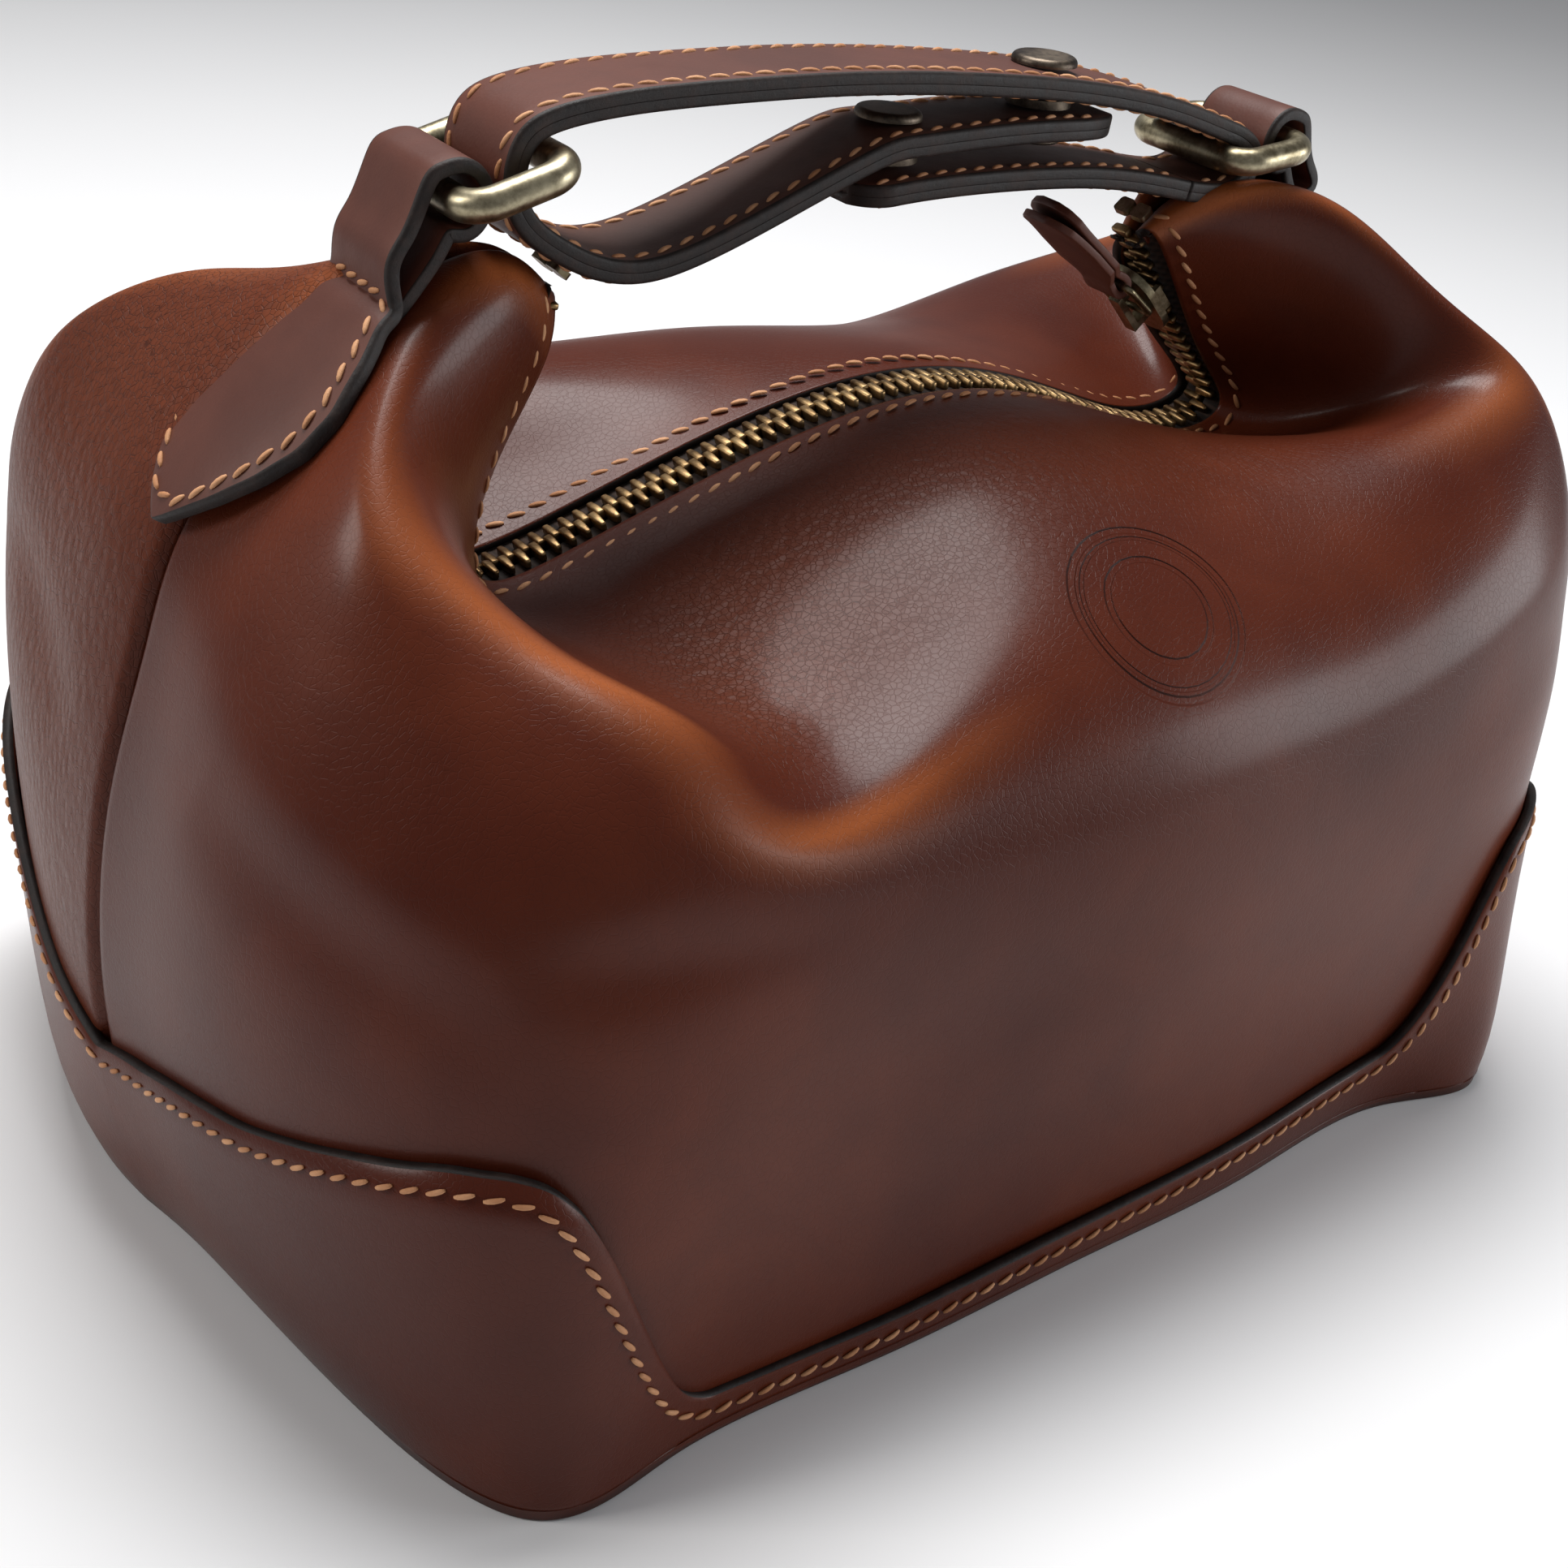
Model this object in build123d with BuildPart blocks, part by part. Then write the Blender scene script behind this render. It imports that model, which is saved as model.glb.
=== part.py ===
"""Soft leather shaving kit bag: a boxed pouch with two peaked ends, a zip along the top and a strap
that runs through a brass ring on each peak.

Frame: millimetres, +Z up, +X along the bag, origin on the floor at the middle of the base.
The pouch is drawn as three outlines (side, end and plan) whose common volume is its outer form.
Every layer of the wall is the space between two copies of that form, drawn in by different insets.
"""
import os
from math import cos, hypot, radians, sin

from build123d import *

# Driving dimensions.
LEATHER = 1.8                 # panel and trim leather
LINING = 0.8                  # lining cloth
LINING_DEPTH = 2.6            # from the panel's outer face to the lining
TAPE = 0.6                    # zip tape
TAB = 2.2                     # end tab leather
BASE_HALF_LENGTH = 133.0      # end of the flat base
BELLY_HALF_LENGTH = 143.0     # widest point of the ends
BASE_HALF_WIDTH = 82.0
BELLY_HALF_WIDTH = 87.0
CORNER_X = 118.0              # where a long side turns into an end
CROWN_HEIGHT = 133.0          # top of the zip between the ears
PEAK_HEIGHT = 165.0           # top of the ears
TRIM_LOW = 8.0                # bottom trim along the long sides
TRIM_HIGH = 62.0              # bottom trim round the corners
TRIM_END = 36.0               # bottom trim at the end seams
BOARD = 2.5                   # base stiffener

STRAP_WIDTH = 20.0
STRAP_LAYER = 1.9             # each of the strap's two leathers
RING_WIRE = 5.0
RING_PITCH = 17.0             # between the centres of a ring's two long bars
RING_SPAN = 28.0              # between the centres of its two short bars
RING_HINGE_X = 87.0           # outer bar of a ring, held by the end tab
RING_HINGE_Z = 174.5
RING_TILT_LEFT = 17.0         # degrees that the inner bar stands above the outer one
RING_TILT_RIGHT = -7.0

CHAIN_WIDTH = 7.4             # both rows of zip teeth
CHAIN_DEPTH = 0.4             # the teeth stand this far under the leather's outer face
SLOT_WIDTH = 12.0             # gap between the panels' zip edges
TAPE_REACH = 13.0             # tape edge, from the middle of the zip
ZIP_TOP = (57.0, 153.0)       # straight stretch of zip inside the right ear, x and z
ZIP_LOW = (89.0, 121.0)
SEAM = 0.05                   # each half stops this far from the middle plane
CLEAR = 0.3                   # between bodies that slide

REACH = 200.0                 # past the bag in every direction
os.makedirs("parts", exist_ok=True)


def save(piece, name):
    """Label a finished piece and write it as its own STEP file."""
    piece.part.label = name
    export_step(piece.part, f"parts/{name}.step")


# The pouch. Each outline is a list of runs, counter-clockwise: two points are a straight line, more
# are a smooth curve, and each run starts where the one before it ends.

def side_outline():
    """Side view at the middle plane: bulged ends, an ear leaning in at each end, a crown between."""
    right_end = [
        (BASE_HALF_LENGTH, LEATHER), (BELLY_HALF_LENGTH - 1, 32), (BELLY_HALF_LENGTH, 58),
        (140, 84), (133, 108), (125, 127), (111, 144), (99, 156),
    ]
    left_end = [(-x, z) for x, z in reversed(right_end)]
    right_ear = [right_end[-1], (88, 162.8), (75, PEAK_HEIGHT - 1.5), (62, 161), (57.2, 157), ZIP_TOP]
    crown = [
        ZIP_LOW, (88.5, 116.5), (80, 115.5), (54, 126.5), (27, 132), (0, CROWN_HEIGHT),
        (-27, 127.5), (-48, 120.5), (-66, 112.5), (-79, 111), (-85, 116),
    ]
    left_ear = [
        (-64.5, 150), (-64, 156), (-68, 160.5), (-76, PEAK_HEIGHT - 1.5), (-88, 162.8), left_end[0],
    ]
    floor = [left_end[-1], right_end[0]]
    return [right_end, right_ear, [ZIP_TOP, ZIP_LOW], crown, [crown[-1], left_ear[0]], left_ear,
            left_end, floor]


def end_outline():
    """End view: upright walls that roll over a shoulder and climb to the peak."""
    wall = [
        (BASE_HALF_WIDTH, LEATHER), (BELLY_HALF_WIDTH, 50), (84, 88), (73, 112), (56, 129), (26, 153),
    ]
    other_wall = [(-y, z) for y, z in reversed(wall)]
    return [wall + [(0, PEAK_HEIGHT + 1)] + other_wall, [other_wall[-1], wall[0]]]


def plan_outline():
    """Plan view: long sides, rounded corners, ends that bulge to the end seam."""
    corner = [
        (BELLY_HALF_LENGTH + 1, 0), (133, 45), (CORNER_X + 2, 74), (CORNER_X - 28, BELLY_HALF_WIDTH + 1),
    ]
    far_corner = [(-x, y) for x, y in reversed(corner)]
    half = [corner, [corner[-1], far_corner[0]], far_corner]
    return half + [[(-x, -y) for x, y in run] for run in half]


def drawn_in(outline, inset):
    """The outline with each point moved inwards, so that the runs beside it move by inset."""
    points = [point for run in outline for point in run[:-1]]
    moved = {}
    for number, (x, y) in enumerate(points):
        before = points[number - 1]
        after = points[(number + 1) % len(points)]
        into = Vector(before[1] - y, x - before[0]).normalized()
        out = Vector(y - after[1], after[0] - x).normalized()
        shift = (into + out) * (inset / (1 + into.dot(out)))
        moved[x, y] = (x + shift.X, y + shift.Y)
    return [[moved[point] for point in run] for run in outline]


def draw(outline):
    """Draw an outline's runs."""
    for run in outline:
        if len(run) == 2:
            Line(*run)
        else:
            Spline(*run)


def pouch_form(inset):
    """The pouch's closed form, drawn in by inset, or let out where inset is negative."""
    with BuildPart() as form:
        with BuildSketch(Plane.XZ):
            with BuildLine():
                draw(drawn_in(side_outline(), inset))
            make_face()
        extrude(amount=REACH, both=True)
        with BuildSketch(Plane.YZ):
            with BuildLine():
                draw(drawn_in(end_outline(), inset))
            make_face()
        extrude(amount=REACH, both=True, mode=Mode.INTERSECT)
        with BuildSketch(Plane.XY):
            with BuildLine():
                draw(drawn_in(plan_outline(), inset))
            make_face()
        extrude(amount=REACH, both=True, mode=Mode.INTERSECT)
    return form.part


# The pouch's nested forms, from the outside in.
tab_face = pouch_form(-TAB)
trim_face = pouch_form(-LEATHER)
panel_face = pouch_form(0)
chain_face = pouch_form(CHAIN_DEPTH)
panel_back = pouch_form(LEATHER)
tape_back = pouch_form(LEATHER + TAPE)
lining_face = pouch_form(LINING_DEPTH)
lining_back = pouch_form(LINING_DEPTH + LINING)


def zip_side(top_x_left, top_x_right, low):
    """Side view of the space that holds the zip: the crown and the inner faces of both ears."""
    Polyline(
        (0, REACH), (top_x_right - 4, 168), (top_x_right, ZIP_TOP[1] + low), (72, 150), (96, 121),
        (88, 104), (0, 112), (-88, 102), (-92, 118), (-76, 147), (top_x_left, 151 + low),
        (top_x_left + 3, 166), close=True,
    )


def band(half_width, trim_top=0.0):
    """A block along the zip, half_width to each side of it, that stops trim_top short at each end."""
    with BuildPart() as block:
        with BuildSketch(Plane.XZ):
            with BuildLine():
                zip_side(-67.5, 61, 6.5 - trim_top)
            make_face()
        extrude(amount=half_width, both=True)
    return block.part


def half_space(side, start=0.0, floor=0.0):
    """Everything on one side of the middle plane, from start mm off it and from floor upwards."""
    with BuildPart() as space:
        with BuildSketch(Plane.XY.offset(floor)):
            with Locations((0, side * (start + REACH / 2))):
                Rectangle(2 * REACH, REACH)
        extrude(amount=REACH)
    return space.part


def trim_side():
    """Front view of the bottom trim: high round the corners, an S-curve down to a low strip."""
    half = [(150, TRIM_END), (138, 47), (127, 58), (117, TRIM_HIGH), (107, TRIM_HIGH - 1), (100, 51),
            (95, 35), (89, 17), (80, TRIM_LOW + 1), (64, TRIM_LOW)]
    Spline(*half)
    Line(half[-1], (-half[-1][0], half[-1][1]))
    Spline(*[(-x, z) for x, z in half])
    Polyline((-150, half[0][1]), (-150, -10), (150, -10), (150, half[0][1]))


SIDES = {"front": -1, "back": 1}
BOARD_TOP = LEATHER + BOARD

with BuildPart() as base_trim:
    add(trim_face)
    add(panel_face, mode=Mode.SUBTRACT)
    with BuildSketch(Plane.XZ):
        with BuildLine():
            trim_side()
        make_face()
    extrude(amount=REACH, both=True, mode=Mode.INTERSECT)
save(base_trim, "base_trim")

with BuildPart() as base_board:
    add(pouch_form(CLEAR))
    with BuildSketch(Plane.XY.offset(LEATHER)):
        Rectangle(2 * REACH, REACH)
    extrude(amount=BOARD, mode=Mode.INTERSECT)
save(base_board, "base_board")

for side_name, side in SIDES.items():
    with BuildPart() as panel:
        add(panel_face)
        add(panel_back, mode=Mode.SUBTRACT)
        add(band(SLOT_WIDTH / 2), mode=Mode.SUBTRACT)
        add(half_space(side, SEAM, BOARD_TOP), mode=Mode.INTERSECT)
    save(panel, f"{side_name}_panel")

    with BuildPart() as lining:
        add(lining_face)
        add(lining_back, mode=Mode.SUBTRACT)
        add(band(SLOT_WIDTH / 2 + 2), mode=Mode.SUBTRACT)
        add(half_space(side, SEAM, BOARD_TOP), mode=Mode.INTERSECT)
    save(lining, f"lining_{side_name}")

    with BuildPart() as tape:
        add(panel_back)
        add(tape_back, mode=Mode.SUBTRACT)
        add(band(TAPE_REACH, 1.0), mode=Mode.INTERSECT)
        add(half_space(side, SEAM), mode=Mode.INTERSECT)
    save(tape, f"zip_tape_{side_name}")

    with BuildPart() as chain:
        add(chain_face)
        add(panel_back, mode=Mode.SUBTRACT)
        add(band(CHAIN_WIDTH / 2, 4.0), mode=Mode.INTERSECT)
        add(half_space(side, SEAM), mode=Mode.INTERSECT)
    save(chain, f"zip_teeth_{side_name}")


# The straight stretch of zip inside the right ear carries the slider.
ZIP_RUN = hypot(ZIP_LOW[0] - ZIP_TOP[0], ZIP_LOW[1] - ZIP_TOP[1])
ZIP_X = (ZIP_LOW[0] - ZIP_TOP[0]) / ZIP_RUN
ZIP_Z = (ZIP_LOW[1] - ZIP_TOP[1]) / ZIP_RUN
SLIDER_LENGTH = 17.0
SLIDER_WIDTH = 11.4
SLIDER_PLATE = 1.6
SLIDER_FROM_TOP = 12.0        # the slider's middle, from the top of the straight stretch
FLANGE = 1.2
BRIDGE_LENGTH = 9.0
BRIDGE_HEIGHT = 4.0
BRIDGE_BAR = 1.4
slider_plane = Plane(
    origin=(ZIP_TOP[0] + SLIDER_FROM_TOP * ZIP_X, 0, ZIP_TOP[1] + SLIDER_FROM_TOP * ZIP_Z),
    x_dir=(ZIP_X, 0, ZIP_Z),
    z_dir=(ZIP_Z, 0, -ZIP_X),
)

with BuildPart() as zip_slider:
    with BuildSketch(slider_plane.offset(CLEAR)):
        SlotOverall(SLIDER_LENGTH, SLIDER_WIDTH)
    extrude(amount=SLIDER_PLATE)
    with BuildSketch(slider_plane.offset(CLEAR)):
        with GridLocations(0, CHAIN_WIDTH + 2 * CLEAR + FLANGE, 1, 2):
            Rectangle(SLIDER_LENGTH - SLIDER_WIDTH, FLANGE)
    extrude(amount=-LEATHER)
    with BuildSketch(slider_plane.offset(CLEAR + SLIDER_PLATE)):
        Rectangle(BRIDGE_LENGTH, 2 * BRIDGE_BAR)
    extrude(amount=BRIDGE_HEIGHT)
    with BuildSketch(slider_plane.offset(CLEAR + SLIDER_PLATE)):
        Rectangle(BRIDGE_LENGTH - 2 * BRIDGE_BAR, 4 * BRIDGE_BAR)
    extrude(amount=BRIDGE_HEIGHT - BRIDGE_BAR, mode=Mode.SUBTRACT)
save(zip_slider, "zip_slider")

# The pull link turns on the bridge, and the folded leather puller is looped through it.
PULL_ANGLE = 143.0            # direction of the puller at rest, from +X towards +Z
LINK_WIRE = 1.4
LINK_WIDTH = 11.0
LINK_LENGTH = 9.0
PULLER_LENGTH = 24.0
PULLER_WIDTH = 15.0
PULLER_LEATHER = 1.5
bridge_middle = slider_plane.origin + slider_plane.z_dir * (
    CLEAR + SLIDER_PLATE + (BRIDGE_HEIGHT - BRIDGE_BAR) / 2
)
pull_plane = Plane(
    origin=bridge_middle,
    x_dir=(cos(radians(PULL_ANGLE)), 0, sin(radians(PULL_ANGLE))),
    z_dir=(-sin(radians(PULL_ANGLE)), 0, cos(radians(PULL_ANGLE))),
)


def wire_ring(plane, length, width, wire):
    """A closed rectangular ring of round wire: one bar on the plane's origin, the other length away."""
    half = width / 2
    with BuildPart() as ring:
        with BuildLine(plane) as path:
            FilletPolyline(
                (0, half), (length, half), (length, -half), (0, -half),
                radius=0.9 * wire, close=True,
            )
        with BuildSketch(Plane(origin=path.line @ 0, z_dir=path.line % 0)):
            Circle(wire / 2)
        sweep()
    return ring


save(wire_ring(pull_plane, LINK_LENGTH, LINK_WIDTH, LINK_WIRE), "zip_pull_link")

with BuildPart() as zip_puller:
    fold = LINK_WIRE / 2 + CLEAR / 2
    with BuildSketch(Plane(pull_plane.origin, x_dir=pull_plane.x_dir, z_dir=(0, -1, 0))):
        with Locations((LINK_LENGTH, 0)):
            Circle(fold + PULLER_LEATHER)
        with Locations((LINK_LENGTH + PULLER_LENGTH / 2, 0)):
            Rectangle(PULLER_LENGTH, 2 * PULLER_LEATHER)
        with Locations((LINK_LENGTH, 0)):
            Circle(fold, mode=Mode.SUBTRACT)
    extrude(amount=(LINK_WIDTH - 2 * LINK_WIRE) / 2, both=True)
    with BuildSketch(pull_plane.offset(-PULLER_LEATHER)):
        with Locations((LINK_LENGTH + PULLER_LENGTH / 2 + 4, 0)):
            RectangleRounded(PULLER_LENGTH - 8, PULLER_WIDTH, 3)
    extrude(amount=2 * PULLER_LEATHER)
save(zip_puller, "zip_puller")

with BuildPart() as zip_end_stops:
    for tip_x, tip_z, lean in ((59.2, 160.6, -0.7), (-66.2, 160.4, 0.7)):
        with BuildSketch(Plane(origin=(tip_x, 0, tip_z), x_dir=(0, 1, 0), z_dir=(lean, 0, 0.8))):
            with Locations((2.2, 0), (-2.2, 0)):
                RectangleRounded(3.6, 3.2, 0.8)
        extrude(amount=1.2)
save(zip_end_stops, "zip_end_stops")


# The rings, hinged in the end tabs' loops.
def ring_plane(x_side, tilt):
    """The plane of a ring: origin on its outer bar, x towards its inner bar."""
    inward = (-x_side * cos(radians(tilt)), 0, sin(radians(tilt)))
    return Plane(origin=(x_side * RING_HINGE_X, 0, RING_HINGE_Z), x_dir=inward, z_dir=(
        x_side * sin(radians(tilt)), 0, cos(radians(tilt))))


RINGS = {"left": (-1, RING_TILT_LEFT), "right": (1, RING_TILT_RIGHT)}
for ring_name, (x_side, tilt) in RINGS.items():
    save(wire_ring(ring_plane(x_side, tilt), RING_PITCH, RING_SPAN, RING_WIRE), f"ring_{ring_name}")


# The end tabs: a stitched spear on the end seam, folded over the ring as a loop.
LOOP_WIDTH = 18.6
LOOP_HOLE = RING_WIRE / 2 + CLEAR
TAB_WIDTH = 38.0
for ring_name, (x_side, tilt) in RINGS.items():
    with BuildPart() as tail:
        add(tab_face)
        add(panel_face, mode=Mode.SUBTRACT)
        with BuildSketch(Plane(origin=(x_side * 112, 0, 144), x_dir=(-x_side * 0.68, 0, 0.73),
                               z_dir=(x_side * 0.73, 0, 0.68))):
            with BuildLine():
                Spline((-27, 0), (-14, 14), (0, TAB_WIDTH / 2), (14, 16), (27, LOOP_WIDTH / 2))
                Spline((-27, 0), (-14, -14), (0, -TAB_WIDTH / 2), (14, -16), (27, -LOOP_WIDTH / 2))
                Line((27, LOOP_WIDTH / 2), (27, -LOOP_WIDTH / 2))
            make_face()
        extrude(amount=30, both=True, mode=Mode.INTERSECT)
    with BuildPart() as end_tab:
        with BuildSketch(Plane.XZ):
            with Locations((x_side * RING_HINGE_X, RING_HINGE_Z)):
                Circle(LOOP_HOLE + TAB)
            with BuildLine():
                Polyline(
                    (x_side * 92, 173), (x_side * 97, 163), (x_side * 100, 154),
                    (x_side * 91, 158), (x_side * 84, 170.5), close=True,
                )
            make_face()
            with Locations((x_side * RING_HINGE_X, RING_HINGE_Z)):
                Circle(LOOP_HOLE, mode=Mode.SUBTRACT)
        extrude(amount=LOOP_WIDTH / 2, both=True)
        add(panel_face, mode=Mode.SUBTRACT)
        add(tail.part)
    save(end_tab, f"end_tab_{ring_name}")


# The strap: one long stitched strip, from its free end on the lower layer, round the left ring,
# over the top, round the right ring and back as the lowest layer.
STRAP_LOWER = [
    (44, 178.4), (28, 179.3), (10, 179), (-3, 178.3), (-11, 176.9), (-26, 171), (-38, 166.2),
    (-48, 162.9), (-56, 161.8), (-63, 163), (-69.5, 166), (-75.6, 170.6), (-77.9, 176.5),
]
STRAP_TOP = [
    (-77, 181.6), (-73, 185), (-63, 187), (-50, 188), (-35, 188.5), (-20, 188.7), (-3, 188.3),
    (14, 187.3), (33, 185.5), (53, 182.1), (67, 178.2), (74.5, 175.6), (78.3, 171.6), (75.8, 167.4),
    (70, 166), (62.2, 166.9),
]
STRAP_TAIL = [(61.8, 166.95), (50, 169.2), (35, 170.9), (15, 171.4), (-2, 170.9), (-13, 169.8)]


def beside(points, distance):
    """The points moved square to their run, to its left, or to its right if distance is negative."""
    moved = []
    for number, (x, y) in enumerate(points):
        before = points[max(number - 1, 0)]
        after = points[min(number + 1, len(points) - 1)]
        along = Vector(after[0] - before[0], after[1] - before[1]).normalized()
        moved.append((x - along.Y * distance, y + along.X * distance))
    return moved


def strip(points, near, far):
    """One leather layer of the strap, between near and far to the left of the line through points."""
    one_face = beside(points, near)
    other_face = beside(points, far)[::-1]
    with BuildPart() as layer:
        with BuildSketch(Plane.XZ):
            with BuildLine():
                draw([one_face, [one_face[-1], other_face[0]], other_face, [other_face[-1], one_face[0]]])
            make_face()
        extrude(amount=STRAP_WIDTH / 2, both=True)
    return layer


STRAP_RUN = STRAP_LOWER + STRAP_TOP
save(strip(STRAP_RUN, 0, STRAP_LAYER), "strap_leather")
save(strip(STRAP_RUN, -STRAP_LAYER, 0), "strap_lining")
save(strip(STRAP_TAIL, 0, STRAP_LAYER), "strap_tail_leather")
save(strip(STRAP_TAIL, -STRAP_LAYER, 0), "strap_tail_lining")

# The snaps: each joins two layers of the strap. The cap and its socket are on the upper layer, the
# stud and its back plate on the lower one. Heights are of the two layers' middles at the snap.
SNAPS = {"snap_1": (30.0, 185.9, 179.2), "snap_2": (-3.0, 178.2, 170.9)}
CAP_RADIUS = 5.8
CAP_HEIGHT = 1.4
SOCKET_HEIGHT = 1.5
STUD_RADIUS = 2.8
STUD_HEIGHT = 1.6
BACK_RADIUS = 5.0
BACK_HEIGHT = 1.0
SNAP_LIFT = 0.75              # a snap's plates stand this far off the sloping leather
for snap_name, (snap_x, upper, lower) in SNAPS.items():
    cap_base = upper + STRAP_LAYER + SNAP_LIFT
    with BuildPart() as cap:
        with BuildSketch(Plane.XY.offset(cap_base)):
            with Locations((snap_x, 0)):
                Circle(CAP_RADIUS)
        extrude(amount=CAP_HEIGHT)
        fillet(cap.edges().sort_by(Axis.Z)[-1], radius=CAP_HEIGHT * 0.8)
    save(cap, f"{snap_name}_cap")

    with BuildPart() as socket:
        with BuildSketch(Plane.XY.offset(upper - STRAP_LAYER - SNAP_LIFT)):
            with Locations((snap_x, 0)):
                Circle(CAP_RADIUS)
                Circle(STUD_RADIUS + CLEAR, mode=Mode.SUBTRACT)
        extrude(amount=-SOCKET_HEIGHT)
    save(socket, f"{snap_name}_socket")

    with BuildPart() as stud:
        with BuildSketch(Plane.XY.offset(lower + STRAP_LAYER + SNAP_LIFT / 2)):
            with Locations((snap_x, 0)):
                Circle(STUD_RADIUS)
        extrude(amount=STUD_HEIGHT)
        fillet(stud.edges().sort_by(Axis.Z)[-1], radius=STUD_HEIGHT / 3)
    save(stud, f"{snap_name}_stud")

    with BuildPart() as stud_back:
        with BuildSketch(Plane.XY.offset(lower - STRAP_LAYER - SNAP_LIFT)):
            with Locations((snap_x, 0)):
                Circle(BACK_RADIUS)
        extrude(amount=-BACK_HEIGHT)
        fillet(stud_back.edges().sort_by(Axis.Z)[0], radius=BACK_HEIGHT / 2)
    save(stud_back, f"{snap_name}_stud_back")
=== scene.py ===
"""Soft leather shaving kit bag: stitched panels with two peaked ends, brass zip, strap and rings."""
import math

import bmesh
import bpy
import numpy as np
from mathutils import Matrix, Vector


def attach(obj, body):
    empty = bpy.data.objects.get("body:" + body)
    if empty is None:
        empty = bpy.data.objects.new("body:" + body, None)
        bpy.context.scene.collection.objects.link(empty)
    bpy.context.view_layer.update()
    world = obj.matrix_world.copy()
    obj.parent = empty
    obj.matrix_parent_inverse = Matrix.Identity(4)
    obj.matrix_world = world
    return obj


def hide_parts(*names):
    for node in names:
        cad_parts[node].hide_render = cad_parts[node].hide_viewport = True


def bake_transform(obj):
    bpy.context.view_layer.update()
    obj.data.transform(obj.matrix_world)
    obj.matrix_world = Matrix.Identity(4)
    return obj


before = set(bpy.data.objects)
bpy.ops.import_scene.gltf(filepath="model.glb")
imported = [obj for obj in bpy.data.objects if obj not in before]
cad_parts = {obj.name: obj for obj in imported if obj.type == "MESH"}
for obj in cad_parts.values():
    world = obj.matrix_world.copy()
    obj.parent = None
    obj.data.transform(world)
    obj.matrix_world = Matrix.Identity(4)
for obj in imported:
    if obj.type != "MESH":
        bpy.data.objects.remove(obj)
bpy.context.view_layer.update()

MM = 0.001


# Camera, light and floor.

SENSOR_WIDTH = 36
LENS = 46.75
CAMERA_PLACE = (-0.2233, -0.2698, 0.2570)
CAMERA_AIM = (38.7, 30.7, 7.2)
WORLD_COLOUR = (0.95, 0.96, 1, 1)
WORLD_STRENGTH = 0.2
FLOOR_SIZE = 6


def aim(thing, azimuth, down, roll):
    """Turn a camera: azimuth from +Y towards +X, down and roll in degrees."""
    a, p, r = (math.radians(angle) for angle in (azimuth, down, roll))
    look = Vector((math.sin(a) * math.cos(p), math.cos(a) * math.cos(p), -math.sin(p)))
    right = Vector((math.cos(a), -math.sin(a), 0))
    up = right.cross(look)
    turned_right = right * math.cos(r) + up * math.sin(r)
    turned_up = up * math.cos(r) - right * math.sin(r)
    thing.matrix_world = Matrix((
        (turned_right.x, turned_up.x, -look.x, thing.location.x),
        (turned_right.y, turned_up.y, -look.y, thing.location.y),
        (turned_right.z, turned_up.z, -look.z, thing.location.z),
        (0, 0, 0, 1),
    ))


def make_camera():
    lens = bpy.data.cameras.new("camera")
    lens.sensor_width = SENSOR_WIDTH
    lens.lens = LENS
    lens.clip_start = 0.01
    camera = bpy.data.objects.new("camera", lens)
    bpy.context.collection.objects.link(camera)
    camera.location = CAMERA_PLACE
    aim(camera, *CAMERA_AIM)
    bpy.context.scene.camera = camera


def make_light(name, place, target, size, power, colour=(1, 1, 1)):
    lamp = bpy.data.lights.new(name, "AREA")
    lamp.shape = "RECTANGLE"
    lamp.size, lamp.size_y = size
    lamp.energy = power
    lamp.color = colour
    holder = bpy.data.objects.new(name, lamp)
    bpy.context.collection.objects.link(holder)
    holder.location = place
    holder.rotation_euler = (Vector(target) - Vector(place)).to_track_quat("-Z", "Y").to_euler()


def make_studio():
    make_light("top_softbox", (0.1, 0.3, 1.1), (0, 0, 0.08), (0.62, 0.46), 14)
    make_light("side_softbox", (-0.95, 0.35, 0.75), (-0.05, 0, 0.1), (0.32, 0.4), 4.5, (1, 0.98, 0.95))
    make_light("front_card", (0.85, -0.6, 0.3), (0.08, -0.03, 0.07), (0.5, 0.4), 4.5, (0.96, 0.98, 1))
    world = bpy.data.worlds.new("studio")
    world.use_nodes = True
    world.node_tree.nodes["Background"].inputs["Color"].default_value = WORLD_COLOUR
    world.node_tree.nodes["Background"].inputs["Strength"].default_value = WORLD_STRENGTH
    bpy.context.scene.world = world
    bpy.context.scene.view_settings.view_transform = "Standard"
    bpy.ops.mesh.primitive_plane_add(size=FLOOR_SIZE)
    floor = bpy.context.object
    floor.name = "floor"
    return floor


# Shader maths: a Value wraps a socket, and its operators add Math nodes.

class Value:
    def __init__(self, finish, socket):
        self.finish, self.socket = finish, socket

    def _math(self, operation, *others, clamp=False):
        inputs = dict(enumerate((self, *others)))
        node = self.finish.node("ShaderNodeMath", {"operation": operation, "use_clamp": clamp}, inputs)
        return Value(self.finish, node.outputs[0])

    def __add__(self, other):
        return self._math("ADD", other)

    def __sub__(self, other):
        return self._math("SUBTRACT", other)

    def __rsub__(self, other):
        return (self * -1)._math("ADD", other)

    def __mul__(self, other):
        return self._math("MULTIPLY", other)

    __radd__, __rmul__ = __add__, __mul__

    def size(self):
        return self._math("ABSOLUTE")

    def clamped(self):
        return self._math("ADD", 0, clamp=True)

    def step(self, low, high):
        """0 below low, 1 above high, smooth between."""
        node = self.finish.node("ShaderNodeMapRange", {"interpolation_type": "SMOOTHSTEP"},
                                {"Value": self, "From Min": low, "From Max": high})
        return Value(self.finish, node.outputs[0])


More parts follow.
